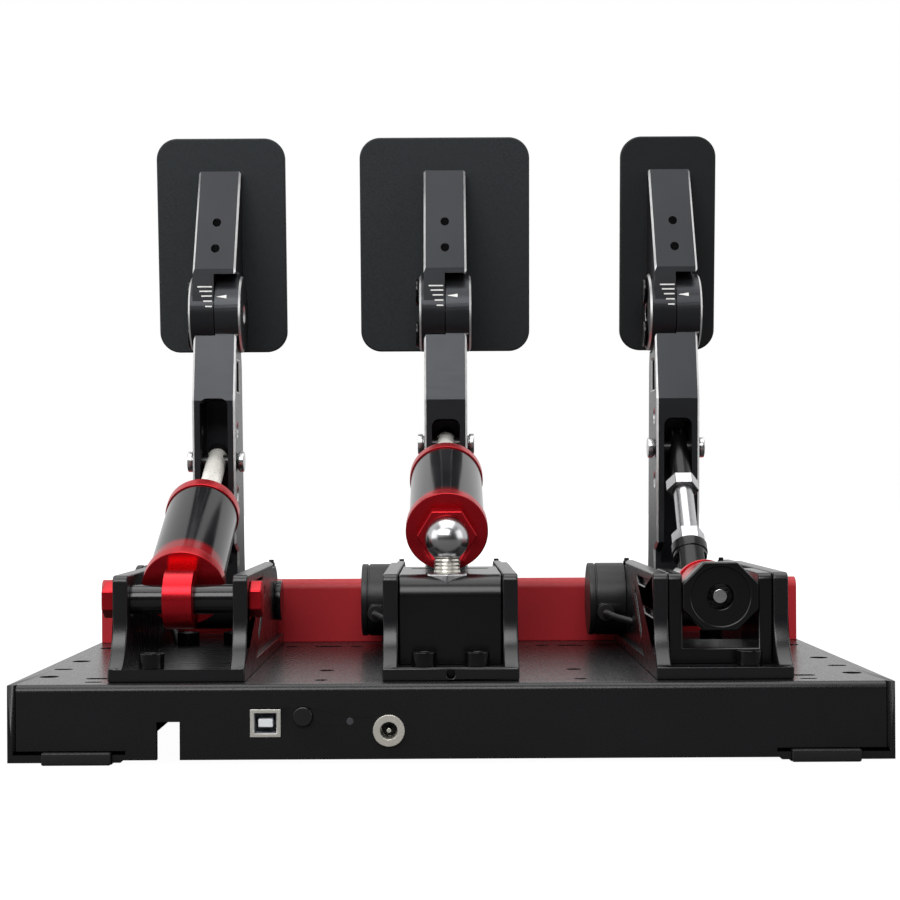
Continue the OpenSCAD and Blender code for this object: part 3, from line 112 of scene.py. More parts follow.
# Mouth and tongue of the data socket, barrel and centre pin of the power jack
MOUTH_DEPTH = 0.25 * MM
TONGUE_HALF = (3.0 * MM, 1.8 * MM)
JACK_BARREL_R = 3.1 * MM
JACK_PIN_R = 0.9 * MM

# Eased edges of the ports
SOCKET_EDGE = 0.25 * MM
JACK_EDGE = 0.4 * MM
LIGHT_EDGE = 0.3 * MM

# Thread of the ball's stud
STUD_R = 5.0 * MM
THREAD_PITCH = 1.5 * MM
THREAD_RISE = 0.45 * MM
THREAD_ROOT = 0.02 * MM
THREAD_SPAN = (72.0 * MM, 78.8 * MM)
THREAD_STEPS = 48

# Sensor leads in millimetres: across from the pedal, depth, height above the tray, then above the floor
PEDAL_X = (-108, 0, 108)
LEAD_R = 1.6 * MM
LEAD_ROUND = 4
LEAD_STEPS = 6
LEAD_HEAD = ((-34.5, 144.2, 17), (-34.5, 139.2, 17), (-30.5, 134, 15.5), (-24, 129, 14),
             (-19.4, 126.6, 12.5), (-16.6, 123.4, 8), (-16, 122, 2), (-16, 122, -4))
LEAD_TAILS = (
    [(-121, 118, 21), (-106, 104, 19), (-84, 78, 17), (-68, 62, 15), (-69.5, 45, 13.35), (-69.5, 40, 13.35)],
    [(-19, 117, 21), (-29, 104, 19), (-46, 80, 17), (-57, 62, 15), (-61.5, 45, 13.35), (-61.5, 40, 13.35)],
    [(88, 117, 21), (70, 106, 19), (10, 92, 18), (-36, 72, 17), (-48, 61, 15), (-53.5, 45, 13.35),
     (-53.5, 40, 13.35)])

# Colours that the panel doesn't offer
WHITE = (1.0, 1.0, 1.0)
NICKEL = (0.72, 0.69, 0.62)
IVORY_NICKEL = (0.88, 0.86, 0.80)
SHELL_NICKEL = (0.74, 0.72, 0.66)
PIN_STEEL = (0.62, 0.62, 0.62)
PIN_BLACK = (0.008, 0.008, 0.008)
ROD_BLACK = (0.012, 0.012, 0.012)
TUBE_BLACK = (0.006, 0.006, 0.007)
BARREL_BLACK = (0.012, 0.011, 0.010)
# Socket lining: its own grey, raised as painted light because the socket's mouth lies in shade
LINING_GREY_PAINTED_LIGHT = (0.32, 0.34, 0.37)
TONGUE_PALE = (0.85, 0.87, 0.90)
FLOOR_GREY = (0.12, 0.12, 0.12)

# Stage: floor, its glow by distance from the middle, the room's light by direction, and the panels
FLOOR_HALF = 6.0
FLOOR_GLOW = 1.25
GLOW_REACH = (0.2, 0.6)
GLOW_SHARE = (0.78, 1.0)
ROOM_DEPTH = (-0.6, 0.3)
ROOM_LEVEL = (0.03, 0.9)
SENSOR_WIDTH = 36.0
CLIP_START = 0.01
AIM = (0.0, 0.0, 0.12)
PANELS = (
    ("front_panel", (-0.5, -1.5, 1.3), (1.9, 0.9), 30.0),
    ("top_panel", (0.0, -0.1, 1.5), (1.4, 1.4), 14.0),
    ("left_panel", (-1.3, -0.5, 0.6), (0.9, 0.9), 5.0),
    ("right_panel", (1.3, -0.5, 0.6), (0.9, 0.9), 4.0))

# Sockets of a colour Mix node, and the part of a noise's range that is used
MIX_FIRST, MIX_SECOND, MIX_RESULT = 6, 7, 2
NOISE_SPAN = (0.3, 0.7)


class PedalColours(bpy.types.PropertyGroup):
    """Colours of the finishes"""
    tray: bpy.props.FloatVectorProperty(
        name="Tray", description="Powder coat of the folded tray",
        subtype="COLOR", default=(0.008, 0.008, 0.009))
    heel: bpy.props.FloatVectorProperty(
        name="Heel rest", description="Powder coat of the heel rest",
        subtype="COLOR", default=(0.44, 0.015, 0.022))
    bracket: bpy.props.FloatVectorProperty(
        name="Brackets", description="Black anodising of the brackets",
        subtype="COLOR", default=(0.006, 0.006, 0.007))
    red: bpy.props.FloatVectorProperty(
        name="Red", description="Red anodising of the strut fittings",
        subtype="COLOR", default=(0.50, 0.010, 0.018))
    arm: bpy.props.FloatVectorProperty(
        name="Arms", description="Grey anodising of the arms",
        subtype="COLOR", default=(0.034, 0.036, 0.040))
    pad: bpy.props.FloatVectorProperty(
        name="Pads", description="Grained face of the pads",
        subtype="COLOR", default=(0.016, 0.0195, 0.022))
    silver: bpy.props.FloatVectorProperty(
        name="Silver", description="Bare machined chamfers",
        subtype="COLOR", default=(0.78, 0.78, 0.78))
    paint: bpy.props.FloatVectorProperty(
        name="Scale paint", description="Marks of the tilt scale",
        subtype="COLOR", default=(0.80, 0.80, 0.78))


class PedalEdges(bpy.types.PropertyGroup):
    """Widths of the eased edges"""
    sheet: bpy.props.FloatProperty(
        name="Sheet", description="Round on sheet and small screws", unit="LENGTH", default=0.35 * MM)
    milled: bpy.props.FloatProperty(
        name="Milled", description="Round on the milled blocks", unit="LENGTH", default=0.7 * MM)
    turned: bpy.props.FloatProperty(
        name="Turned", description="Chamfer on turned pieces", unit="LENGTH", default=0.5 * MM)
    arm: bpy.props.FloatProperty(
        name="Arms", description="Bright chamfer along the arms", unit="LENGTH", default=0.9 * MM)
    pad: bpy.props.FloatProperty(
        name="Pads", description="Round along the pads' rim", unit="LENGTH", default=0.8 * MM)


class PedalStage(bpy.types.PropertyGroup):
    """Camera and lights"""
    distance: bpy.props.FloatProperty(
        name="Camera distance", description="From the rear wall to the camera", unit="LENGTH", default=0.700)
    eye_x: bpy.props.FloatProperty(
        name="Camera across", description="Camera's place across the set", unit="LENGTH", default=-2.7 * MM)
    eye_z: bpy.props.FloatProperty(
        name="Camera height", description="Camera's height above the floor", unit="LENGTH",
        default=107.3 * MM)
    lens: bpy.props.FloatProperty(
        name="Lens", description="Focal length on a 36 mm sensor", unit="CAMERA", default=72.1)
    roll: bpy.props.FloatProperty(
        name="Roll", description="Camera's turn about its view", unit="ROTATION", default=radians(0.3))
    shift_x: bpy.props.FloatProperty(name="Shift across", description="Framing shift across", default=0.0078)
    shift_y: bpy.props.FloatProperty(name="Shift up", description="Framing shift up", default=0.041)


class Wire:
    """A shader socket on which Python's operators add Math nodes."""

    def __init__(self, nodes, socket):
        self.nodes = nodes
        self.socket = socket

    def _math(self, operation, second=0.0):
        return self.nodes.node("ShaderNodeMath", {"operation": operation}, {0: self, 1: second})

    def __abs__(self):
        return self._math("ABSOLUTE")

    def __add__(self, other):
        return self._math("ADD", other)

    def __sub__(self, other):
        return self._math("SUBTRACT", other)

    def __mul__(self, other):
        return self._math("MULTIPLY", other)

    def __gt__(self, other):
        return self._math("GREATER_THAN", other)

    def __lt__(self, other):
        return self._math("LESS_THAN", other)


class Nodes:
    """A node tree whose new nodes come back as wires."""

    def __init__(self, tree):
        self.tree = tree

    def node(self, kind, settings=None, inputs=None, output=0):
        made = self.tree.nodes.new(kind)
        for key, value in (settings or {}).items():
            setattr(made, key, value)
        for key, value in (inputs or {}).items():
            self.feed(made.inputs[key], value)
        return Wire(self, made.outputs[output])

    def feed(self, socket, value):
        if isinstance(value, Wire):
            self.tree.links.new(value.socket, socket)
        elif socket.type == "RGBA":
            socket.default_value = (*value[:3], 1.0)
        else:
            socket.default_value = value

    def axes(self, vector):
        outputs = self.node("ShaderNodeSeparateXYZ", inputs={0: vector}).socket.node.outputs
        return [Wire(self, output) for output in outputs]

    def length(self, vector):
        return self.node("ShaderNodeVectorMath", {"operation": "LENGTH"}, {0: vector}, output="Value")

    def ramp(self, value, low, high, low_to=0.0, high_to=1.0):
        return self.node("ShaderNodeMapRange", inputs={
            "Value": value, "From Min": low, "From Max": high, "To Min": low_to, "To Max": high_to})


class Finish(Nodes):
    """One procedural material on object coordinates in metres."""

    def __init__(self, name, **constants):
        self.material = bpy.data.materials.new(name)
        self.material.use_nodes = True
        super().__init__(self.material.node_tree)
        self.shader = self.tree.nodes["Principled BSDF"]
        for socket, value in constants.items():
            self.set(socket.replace("_", " "), value)

    def set(self, socket, value):
        self.feed(self.shader.inputs[socket], value)

    def place(self):
        return self.node("ShaderNodeTexCoord", output="Object")

    def stretched(self, scale):
        return self.node("ShaderNodeMapping", inputs={"Vector": self.place(), "Scale": scale})

    def noise(self, scale, detail=3.0, vector=None):
        return self.node("ShaderNodeTexNoise", inputs={
            "Vector": vector or self.place(), "Scale": scale, "Detail": detail})

    def lines(self, stretch, detail=3.0):
        return self.noise(1.0, detail, self.stretched(stretch))

    def tint(self, factor, first, second):
        return self.node("ShaderNodeMix", {"data_type": "RGBA"}, {
            "Factor": factor, MIX_FIRST: first, MIX_SECOND: second}, output=MIX_RESULT)

    def mottle(self, wave, colour, dark, light, span=NOISE_SPAN):
        """Base colour that drifts with a noise between two shares of a colour."""
        self.set("Base Color", self.tint(self.ramp(wave, *span), shade(colour, dark), shade(colour, light)))

    def gloss(self, wave, low, high, span=NOISE_SPAN):
        """Roughness that drifts with a noise."""
        self.set("Roughness", self.ramp(wave, *span, low, high))

    def two_tone(self, mask, colours, metallic):
        """Colour and metal outside and inside a mask."""
        self.set("Base Color", self.tint(mask, *colours))
        self.set("Metallic", self.ramp(mask, 0.0, 1.0, *metallic))

    def bump(self, height, strength, distance):
        self.set("Normal", self.node("ShaderNodeBump", inputs={
            "Height": height, "Strength": strength, "Distance": distance}))


def shade(colour, share):
    return tuple(min(1.0, part * share) for part in colour)


def powder_coat(name, colour, grain, strength, rough):
    """Sprayed coat: orange-peel bump, speckled gloss and a slow drift in tone."""
    finish = Finish(name, Specular_IOR_Level=0.36)
    peel = finish.noise(grain, detail=2.0)
    finish.mottle(finish.noise(18.0, detail=4.0), colour, dark=0.85, light=1.15)
    finish.gloss(peel, low=rough - 0.06, high=rough + 0.06)
    finish.bump(peel, strength, distance=0.05 * MM)
    return finish.material


def anodised(name, colour, rough, metallic, stretch=(60.0, 900.0, 60.0), specular=0.5):
    """Dyed anodising over a milled face: faint tool lines and an uneven dye."""
    finish = Finish(name, Metallic=metallic, Specular_IOR_Level=specular)
    finish.mottle(finish.noise(35.0), colour, dark=0.93, light=1.07)
    finish.gloss(finish.lines(stretch, detail=4.0), low=rough - 0.02, high=rough + 0.03, span=(0.25, 0.75))
    finish.bump(finish.noise(500.0, detail=1.0), strength=0.02, distance=0.01 * MM)
    return finish.material


def bare_metal(name, colour, rough, stretch):
    """Turned or ground metal: fine lines along one direction."""
    finish = Finish(name, Metallic=1.0)
    lines = finish.lines(stretch)
    finish.mottle(lines, colour, dark=0.9, light=1.06)
    finish.gloss(lines, low=rough - 0.03, high=rough + 0.04, span=(0.2, 0.8))
    finish.bump(lines, strength=0.02, distance=0.01 * MM)
    return finish.material


def moulded(name, colour, rough, grain=1400.0, strength=0.25):
    """Moulded plastic or rubber with a spark-eroded grain."""
    finish = Finish(name, Specular_IOR_Level=0.45)
    pits = finish.noise(grain)
    finish.mottle(finish.noise(60.0), colour, dark=0.85, light=1.15)
    finish.gloss(pits, low=rough - 0.07, high=rough + 0.07)
    finish.bump(pits, strength, distance=0.04 * MM)
    return finish.material


def pad_grain(name, colour):
    """Blasted and anodised plate with a leather-like grain."""
    finish = Finish(name, Metallic=0.35)
    cells = finish.node("ShaderNodeTexVoronoi", {"feature": "SMOOTH_F1"}, {
        "Vector": finish.place(), "Scale": 900.0, "Smoothness": 0.6})
    grain = cells * 0.7 + finish.noise(2200.0, detail=2.0) * 0.3
    span = (0.2, 0.6)
    finish.mottle(grain, colour, dark=0.8, light=1.25, span=span)
    finish.gloss(grain, low=0.50, high=0.64, span=span)
    finish.bump(grain, strength=0.35, distance=0.06 * MM)
    return finish.material


def painted(name, colour):
    """Printed mark: thin ink with worn specks."""
    finish = Finish(name)
    specks = finish.noise(2500.0, detail=2.0)
    span = (0.30, 0.42)
    finish.mottle(specks, colour, dark=0.72, light=1.0, span=span)
    finish.gloss(specks, low=0.6, high=0.45, span=span)
    return finish.material


def reach_along(finish, pedal):
    """Distance along a strut from its lower joint, and the strut's length."""
    pin = Vector(JOINTS[pedal + "_rod_pin"]["pos_m"])
    foot = Vector(JOINTS[FOOT_JOINTS[pedal]]["pos_m"])
    along = (pin - foot).normalized()
    _, y, z = finish.axes(finish.place())
    return (y - foot.y) * along.y + (z - foot.z) * along.z, (pin - foot).length


def rod_metal(pedal):
    """Nickel-plated rod whose upper end is blackened."""
    finish = Finish(pedal + " rod plate")
    reach, length = reach_along(finish, pedal)
    black = reach > length * ROD_BLACK_FROM
    finish.two_tone(black, (IVORY_NICKEL, ROD_BLACK), metallic=(0.3, 0.0))
    finish.gloss(finish.noise(120.0, detail=2.0), low=0.24, high=0.30)
    return finish.material


def tube_gloss_painted_reflection(pedal, red):
    """Polished black tube with a painted reflection of its red lower flange, fading to black up the strut."""
    finish = Finish(pedal + " tube gloss")
    reach, _ = reach_along(finish, pedal)
    share, red_to, black_from = TUBE_PAINTED_REFLECTIONS[pedal]
    fade = finish.ramp(reach, red_to, black_from)
    # Painted reflection: the flange's red painted into the tube's base colour at its lower end
    finish.set("Base Color", finish.tint(fade, shade(red, share), TUBE_BLACK))
    finish.gloss(finish.noise(40.0, detail=2.0), low=0.13, high=0.17)
    return finish.material


def pin_metal(pedal):
    """Steel pin with bright heads and a blackened middle."""
    finish = Finish(pedal + " pin steel")
    x, _, _ = finish.axes(finish.place())
    bright = abs(x - JOINTS[pedal + "_rod_pin"]["pos_m"][0]) > PIN_DARK_HALF
    finish.two_tone(bright, (PIN_BLACK, PIN_STEEL), metallic=(0.0, 1.0))
    finish.gloss(finish.noise(120.0, detail=2.0), low=0.26, high=0.32)
    return finish.material


def socket_plate(name):
    """Nickel shell with a grey lining and a pale tongue inside its mouth; the lining's grey is partly its own,
    raised as painted light in the shaded mouth.
    """
    low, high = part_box("usb_socket")
    finish = Finish(name)
    x, y, z = finish.axes(finish.place())
    half_x, half_z = TONGUE_HALF
    tongue = (abs(x - (low.x + high.x) / 2) < half_x) * (abs(z - (low.z + high.z) / 2) < half_z)
    # The lining's grey carries painted light for the shaded mouth
    lining = finish.tint(tongue, LINING_GREY_PAINTED_LIGHT, TONGUE_PALE)
    finish.two_tone(y > low.y + MOUTH_DEPTH, (SHELL_NICKEL, lining), metallic=(0.7, 0.0))
    finish.gloss(finish.lines((1500.0, 300.0, 1500.0)), low=0.34, high=0.46)
    return finish.material


def jack_plate(name):
    """Nickel ring round a black barrel with a bright centre pin."""
    low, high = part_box("dc_jack")
    finish = Finish(name)
    x, _, z = finish.axes(finish.place())
    out = finish.length(finish.node("ShaderNodeCombineXYZ", inputs={
        0: x - (low.x + high.x) / 2, 2: z - (low.z + high.z) / 2}))
    barrel = (out < JACK_BARREL_R) * (out > JACK_PIN_R)
    finish.two_tone(barrel, (NICKEL, BARREL_BLACK), metallic=(0.6, 0.0))
    finish.gloss(finish.lines((900.0, 200.0, 900.0)), low=0.30, high=0.42)
    return finish.material


def make_finishes(colours):
    """All the finishes by name: those of the record's slots and those of single pieces."""
    milled = (120.0, 120.0, 900.0)
    finishes = {
        "tray_black": powder_coat("tray powder coat", colours.tray, 1500.0, 0.04, 0.27),
        "heel_red": powder_coat("heel powder coat", colours.heel, 1100.0, 0.55, 0.48),
        "foot_black": moulded("foot rubber", (0.006, 0.006, 0.0065), 0.5),
        "board_green": moulded("solder mask", (0.012, 0.06, 0.03), 0.35, 600.0),
        "post_brass": bare_metal("turned brass", (0.62, 0.42, 0.16), 0.30, (900.0, 900.0, 60.0)),
        "nickel": bare_metal("nickel plate", NICKEL, 0.24, (900.0, 200.0, 900.0)),
        "lamp_clear": moulded("lamp lens", (0.05, 0.05, 0.055), 0.20, 500.0, 0.05),
        "screw_black": anodised("black oxide", (0.003, 0.003, 0.0035), 0.20, 0.0, specular=0.35),
        "bush_tan": moulded("bush plastic", (0.03, 0.03, 0.032), 0.5),
        "lead_black": moulded("lead jacket", (0.012, 0.012, 0.013), 0.42, 1800.0, 0.12),
        "bracket_black": anodised("bracket anodising", colours.bracket, 0.27, 0.0),
        "housing_black": moulded("sensor housing", (0.006, 0.006, 0.0065), 0.42),
        "bright_steel": bare_metal("ground steel", (0.66, 0.66, 0.66), 0.26, (60.0, 1400.0, 1400.0)),
        "red_anodised": anodised("red anodising", colours.red, 0.27, 0.8, (90.0, 40.0, 90.0)),
        "chrome": bare_metal("polished chrome", (0.52, 0.52, 0.53), 0.24, (200.0, 1600.0, 200.0)),
        "block_black": anodised("block anodising", (0.003, 0.003, 0.0035), 0.24, 0.0, specular=0.42),
        "tube_black": anodised("tube anodising", TUBE_BLACK, 0.15, 0.0, (900.0, 80.0, 900.0)),
        "button_black": moulded("button plastic", (0.010, 0.010, 0.011), 0.16, 900.0, 0.04),
        "arm_grey": anodised("arm anodising", colours.arm, 0.34, 0.7, milled),
        "holder_grey": anodised("holder anodising", shade(colours.arm, 0.78), 0.34, 0.7, milled),
        "pad_dark": pad_grain("pad grain", colours.pad),
        # Clutch pad at 0.35 of the pads' colour: painted shade, a darker copy of the same pad finish
        "clutch_pad": pad_grain("clutch pad grain", shade(colours.pad, 0.35)),
        "spring_steel": bare_metal("spring steel", (0.30, 0.30, 0.32), 0.32, (400.0, 400.0, 400.0)),
        "elastomer_dark": moulded("elastomer", (0.03, 0.03, 0.033), 0.6),
        "silver": bare_metal("machined chamfer", colours.silver, 0.36, (300.0, 300.0, 300.0)),
        "paint": painted("scale paint", colours.paint),
        "usb": socket_plate("socket shell"),
        "jack": jack_plate("jack ring"),
    }
    for pedal in FOOT_JOINTS:
        finishes[pedal + "_rod"] = rod_metal(pedal)
        finishes[pedal + "_tube"] = tube_gloss_painted_reflection(pedal, colours.red)
    for pedal in PEDALS:
        finishes[pedal + "_pin"] = pin_metal(pedal)
    return finishes


FINISHES = {}


def new_object(name, bm, finishes, body, sharp=SMOOTH_ANGLE):
    """Makes a smooth-shaded object of a bmesh, riding on a body."""
    mesh = bpy.data.meshes.new(name)
    for face in bm.faces:
        face.smooth = True
    bm.to_mesh(mesh)
    bm.free()
    mesh.set_sharp_from_angle(angle=sharp)
    for finish in finishes:
        mesh.materials.append(FINISHES[finish])
    piece = bpy.data.objects.new(name, mesh)
    bpy.context.scene.collection.objects.link(piece)
    piece.modifiers.new("weighted", "WEIGHTED_NORMAL").keep_sharp = True
    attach(piece, body)
    return piece


def body_of(node):
    return next(body for body, nodes in BODIES.items() if node in nodes)


def merged_copy(node, flatten):
    """A bmesh of a node with its corners merged and, if asked, its triangles joined into flat faces."""
    bm = bmesh.new()
    bm.from_mesh(frame["nodes"][node].data)
    bmesh.ops.remove_doubles(bm, verts=bm.verts, dist=MERGE_DIST)
    if flatten:
        bmesh.ops.dissolve_limit(bm, angle_limit=FLAT_ANGLE, verts=bm.verts, edges=bm.edges)
    return bm


def ease_edges(bm, width, segments, slot, keep):
    """Bevels the sharp outer edges, or those of them that keep() accepts."""
    edges = [edge for edge in bm.edges if edge.is_manifold and edge.is_convex
             and edge.calc_face_angle() > EASED_ANGLE and (keep is None or keep(edge))]
    bmesh.ops.bevel(bm, geom=edges, offset=width, offset_type="OFFSET", segments=segments, profile=0.5,
                    affect="EDGES", clamp_overlap=False, material=slot)


def side_rim(pedal, above=0.0):
    """Accepts the edges in an outer side face of an arm or holder, and up to a height only the hub's."""
    middle = JOINTS[pedal + "_pivot"]["pos_m"][0] + ARM_SHIFT

    def accept(edge):
        first, second = (corner.co.x - middle for corner in edge.verts)
        if abs(first - second) > SAME_SIDE or abs(first) < SIDE_FROM:
            return False
        lowest = min(corner.co.z for corner in edge.verts)
        return lowest > above or abs(first) > HUB_SIDE_FROM
    return accept


def dress(node, width, segments=2, finishes=None, slot=-1, keep=None, sharp=SMOOTH_ANGLE):
    """Replaces a node by a copy of it with its finish and, where a width is given, eased edges."""
    bm = merged_copy(node, width > 0)
    if width:
        ease_edges(bm, width, segments, slot, keep)
    piece = new_object(node + "_dressed", bm, finishes or [SLOTS[node]], body_of(node), sharp)
    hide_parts(node)


class PedalOperator:
    """Settings that the operators share."""
    bl_options = {"REGISTER"}

    @property
    def edges(self):
        return bpy.context.scene.pedal_edges


class PEDALS_OT_base(PedalOperator, bpy.types.Operator):
    """Tray, heel rest, feet and screws"""
    bl_idname = "pedals.base"
    bl_label = "Base"

    def execute(self, context):
        dress("base_tray", 0.0)
        dress("heel_rest", self.edges.sheet)
        dress("feet", self.edges.milled)
        dress("base_screws", self.edges.sheet)
        for node in ("control_board", "board_posts", "pivot_bushes"):
            dress(node, 0.0)
        return {"FINISHED"}


class PEDALS_OT_ports(PedalOperator, bpy.types.Operator):
    """Sockets, status light and push button in the rear wall"""
    bl_idname = "pedals.ports"
    bl_label = "Ports"

    def execute(self, context):
        dress("usb_socket", SOCKET_EDGE, finishes=["usb"])
        dress("dc_jack", JACK_EDGE, finishes=["jack"])
        dress("status_light", LIGHT_EDGE)
        dress("push_button", self.edges.turned, 3)
        return {"FINISHED"}


class PEDALS_OT_brackets(PedalOperator, bpy.types.Operator):
    """Pedal brackets and the blocks that they hold"""
    bl_idname = "pedals.brackets"
    bl_label = "Brackets"

    def execute(self, context):
        for pedal in PEDALS:
            dress(pedal + "_bracket", self.edges.milled, 3)
            dress(pedal + "_sensor", self.edges.turned)
        dress("throttle_cross_pin", self.edges.turned)
        dress("throttle_pin_caps", self.edges.milled)
        dress("brake_load_cell", self.edges.milled)
        dress("brake_ball_stud", self.edges.turned)
        for node in ("clutch_frame", "clutch_end_block"):
            dress(node, self.edges.milled)
        return {"FINISHED"}


class PEDALS_OT_arms(PedalOperator, bpy.types.Operator):
    """Lower arms with their shafts, pins and clamp screws"""
    bl_idname = "pedals.arms"
    bl_label = "Arms"

    def execute(self, context):
        for pedal in PEDALS:
            dress(pedal + "_arm", self.edges.arm, 1, ["arm_grey", "silver"], 1, side_rim(pedal),
                  ARM_SMOOTH_ANGLE)
            for piece in ("shaft", "hub_bolts"):
                dress(pedal + "_" + piece, self.edges.turned)
            dress(pedal + "_arm_pin", self.edges.turned, finishes=[pedal + "_pin"])
        return {"FINISHED"}


class PEDALS_OT_heads(PedalOperator, bpy.types.Operator):
    """Pad holders, pads and pad screws"""
    bl_idname = "pedals.heads"
    bl_label = "Heads"

    def execute(self, context):
        for pedal in PEDALS:
            rim = side_rim(pedal, JOINTS[pedal + "_pad_tilt"]["pos_m"][2] + RIM_OVER_HUB)
            dress(pedal + "_pad_holder", self.edges.arm, 1, ["holder_grey", "silver"], 1, rim,
                  ARM_SMOOTH_ANGLE)
            # The clutch pad takes the darker copy of the pad finish, with painted shade
            dress(pedal + "_pad", self.edges.pad, 3, ["clutch_pad" if pedal == "clutch" else "pad_dark"])
            dress(pedal + "_pad_screws", self.edges.sheet)
        return {"FINISHED"}


class PEDALS_OT_scales(PedalOperator, bpy.types.Operator):
    """Tilt scale and pointer printed on each hub"""
    bl_idname = "pedals.scales"
    bl_label = "Tilt scales"

    def execute(self, context):
        for pedal in PEDALS:
            hub = Vector(JOINTS[pedal + "_pad_tilt"]["pos_m"])
            hub.x += ARM_SHIFT
            marks = bmesh.new()
            for count, angle in enumerate(SCALE_ANGLES):
                length = SCALE_LONGEST - count * SCALE_STEP
                self.print_mark(marks, self.on_hub(hub, angle, True), -SCALE_GAP - length, -SCALE_GAP,
                                SCALE_LINE, SCALE_LINE)
            new_object(pedal + "_tilt_scale", marks, ["paint"], pedal + "_head")
            pointer = bmesh.new()
            self.print_mark(pointer, self.on_hub(hub, POINTER_ANGLE, False), POINTER_TIP,
                            POINTER_TIP + POINTER_LENGTH, POINTER_BLUNT, POINTER_HEIGHT)
            new_object(pedal + "_tilt_pointer", pointer, ["paint"], pedal + "_lever")
        return {"FINISHED"}

    @staticmethod
    def on_hub(hub, angle, holder):
        """Frame of a mark on the hub's round, or on the holder's flat where that stands further out."""
        lean = radians(angle)
        depth, height = HUB_R * cos(lean), HUB_R * sin(lean)
        flat = HOLDER_FACE - height * tan(HOLDER_LEAN)
        if holder and flat > depth:
            depth, lean = flat, HOLDER_LEAN
        return Matrix.Translation(hub + Vector((0, -depth, height))) @ Matrix.Rotation(-lean, 4, "X")

    @staticmethod
    def print_mark(bm, frame_of_mark, left, right, left_height, right_height):
        """Adds a thin plate, tapering from its left to its right height."""
        made = bmesh.ops.create_cube(bm, size=1.0)["verts"]
        for corner in made:
            tall = left_height if corner.co.x < 0 else right_height
            corner.co = Vector(((left + right) / 2 + corner.co.x * (right - left),
                                (corner.co.y - 0.5) * INK_T, corner.co.z * tall))
        bmesh.ops.transform(bm, matrix=frame_of_mark, verts=made)


class PEDALS_OT_leads(PedalOperator, bpy.types.Operator):
    """Sensor leads, from each gland through its bracket to the board"""
    bl_idname = "pedals.leads"
    bl_label = "Sensor leads"

    def execute(self, context):
        line = bpy.data.curves.new("lead_route", "CURVE")
        line.dimensions = "3D"
        line.bevel_depth = LEAD_R
        line.bevel_resolution = LEAD_ROUND
        line.use_fill_caps = True
        for pedal_x, tail in zip(PEDAL_X, LEAD_TAILS):
            head = [(x + pedal_x, d, TRAY_TOP / MM + h) for x, d, h in LEAD_HEAD]
            route = [Vector((x * MM, d * MM + REAR_WALL, z * MM)) for x, d, z in head + tail]
            points = self.smooth_route(route)
            spline = line.splines.new("POLY")
            spline.points.add(len(points) - 1)
            for point, place in zip(spline.points, points):
                point.co = (*place, 1.0)
        holder = bpy.data.objects.new("lead_route", line)
        bpy.context.scene.collection.objects.link(holder)
        bpy.context.view_layer.update()
        depsgraph = bpy.context.evaluated_depsgraph_get()
        mesh = bpy.data.meshes.new_from_object(holder.evaluated_get(depsgraph))
        bpy.data.objects.remove(holder)
        bm = bmesh.new()
        bm.from_mesh(mesh)
        bmesh.ops.remove_doubles(bm, verts=bm.verts, dist=LEAD_MERGE_DIST)
        bmesh.ops.recalc_face_normals(bm, faces=bm.faces)
        piece = new_object("sensor_leads_dressed", bm, ["lead_black"], "base")
        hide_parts("sensor_leads")
        return {"FINISHED"}

    @staticmethod
    def smooth_route(route):
        """A smooth curve through the route's points."""
        points = []
        for count in range(len(route) - 1):
            a, b = route[max(count - 1, 0)], route[count]
            c, d = route[count + 1], route[min(count + 2, len(route) - 1)]
            for step in range(LEAD_STEPS):
                t = step / LEAD_STEPS
                points.append(0.5 * (2 * b + (c - a) * t + (2 * a - 5 * b + 4 * c - d) * t ** 2
                                     + (3 * b - a - 3 * c + d) * t ** 3))
        return points + [route[-1]]


class PEDALS_OT_struts(PedalOperator, bpy.types.Operator):
    """Throttle and brake struts and the clutch's push rod"""
    bl_idname = "pedals.struts"
    bl_label = "Struts"

    def execute(self, context):
        for node in ("throttle_tube_cap", "throttle_tube_eye", "brake_tube_cap", "brake_ball_socket",
                     "clutch_rod_ends", "clutch_push_rod", "clutch_plunger", "clutch_spring_tube"):
            dress(node, self.edges.turned)
        for pedal in FOOT_JOINTS:
            for piece in ("_tube", "_rod"):
                dress(pedal + piece, self.edges.turned, finishes=[pedal + piece])
        self.cut_thread()
        for node in ("throttle_spring", "brake_elastomers", "clutch_spring"):
            dress(node, 0.0)
        return {"FINISHED"}

    @staticmethod
    def cut_thread():
        """Spins the ridges of the ball stud's thread round its axis."""
        ball = Vector(JOINTS["brake_ball_joint"]["pos_m"])
        low, high = THREAD_SPAN
        count = round((high - low) / THREAD_PITCH)
        bm = bmesh.new()
        line = []
        for step in range(2 * count + 1):
            out = STUD_R + (THREAD_RISE if step % 2 else THREAD_ROOT)
            line.append(bm.verts.new((ball.x + out, ball.y, low + step * THREAD_PITCH / 2)))
        ridge = [bm.edges.new(pair) for pair in zip(line, line[1:])]
        bmesh.ops.spin(bm, geom=line + ridge, cent=(ball.x, ball.y, 0), axis=(0, 0, 1), angle=2 * pi,
                       steps=THREAD_STEPS, use_merge=True)
        bmesh.ops.recalc_face_normals(bm, faces=bm.faces)
        new_object("ball_stud_thread", bm, ["nickel"], "base")


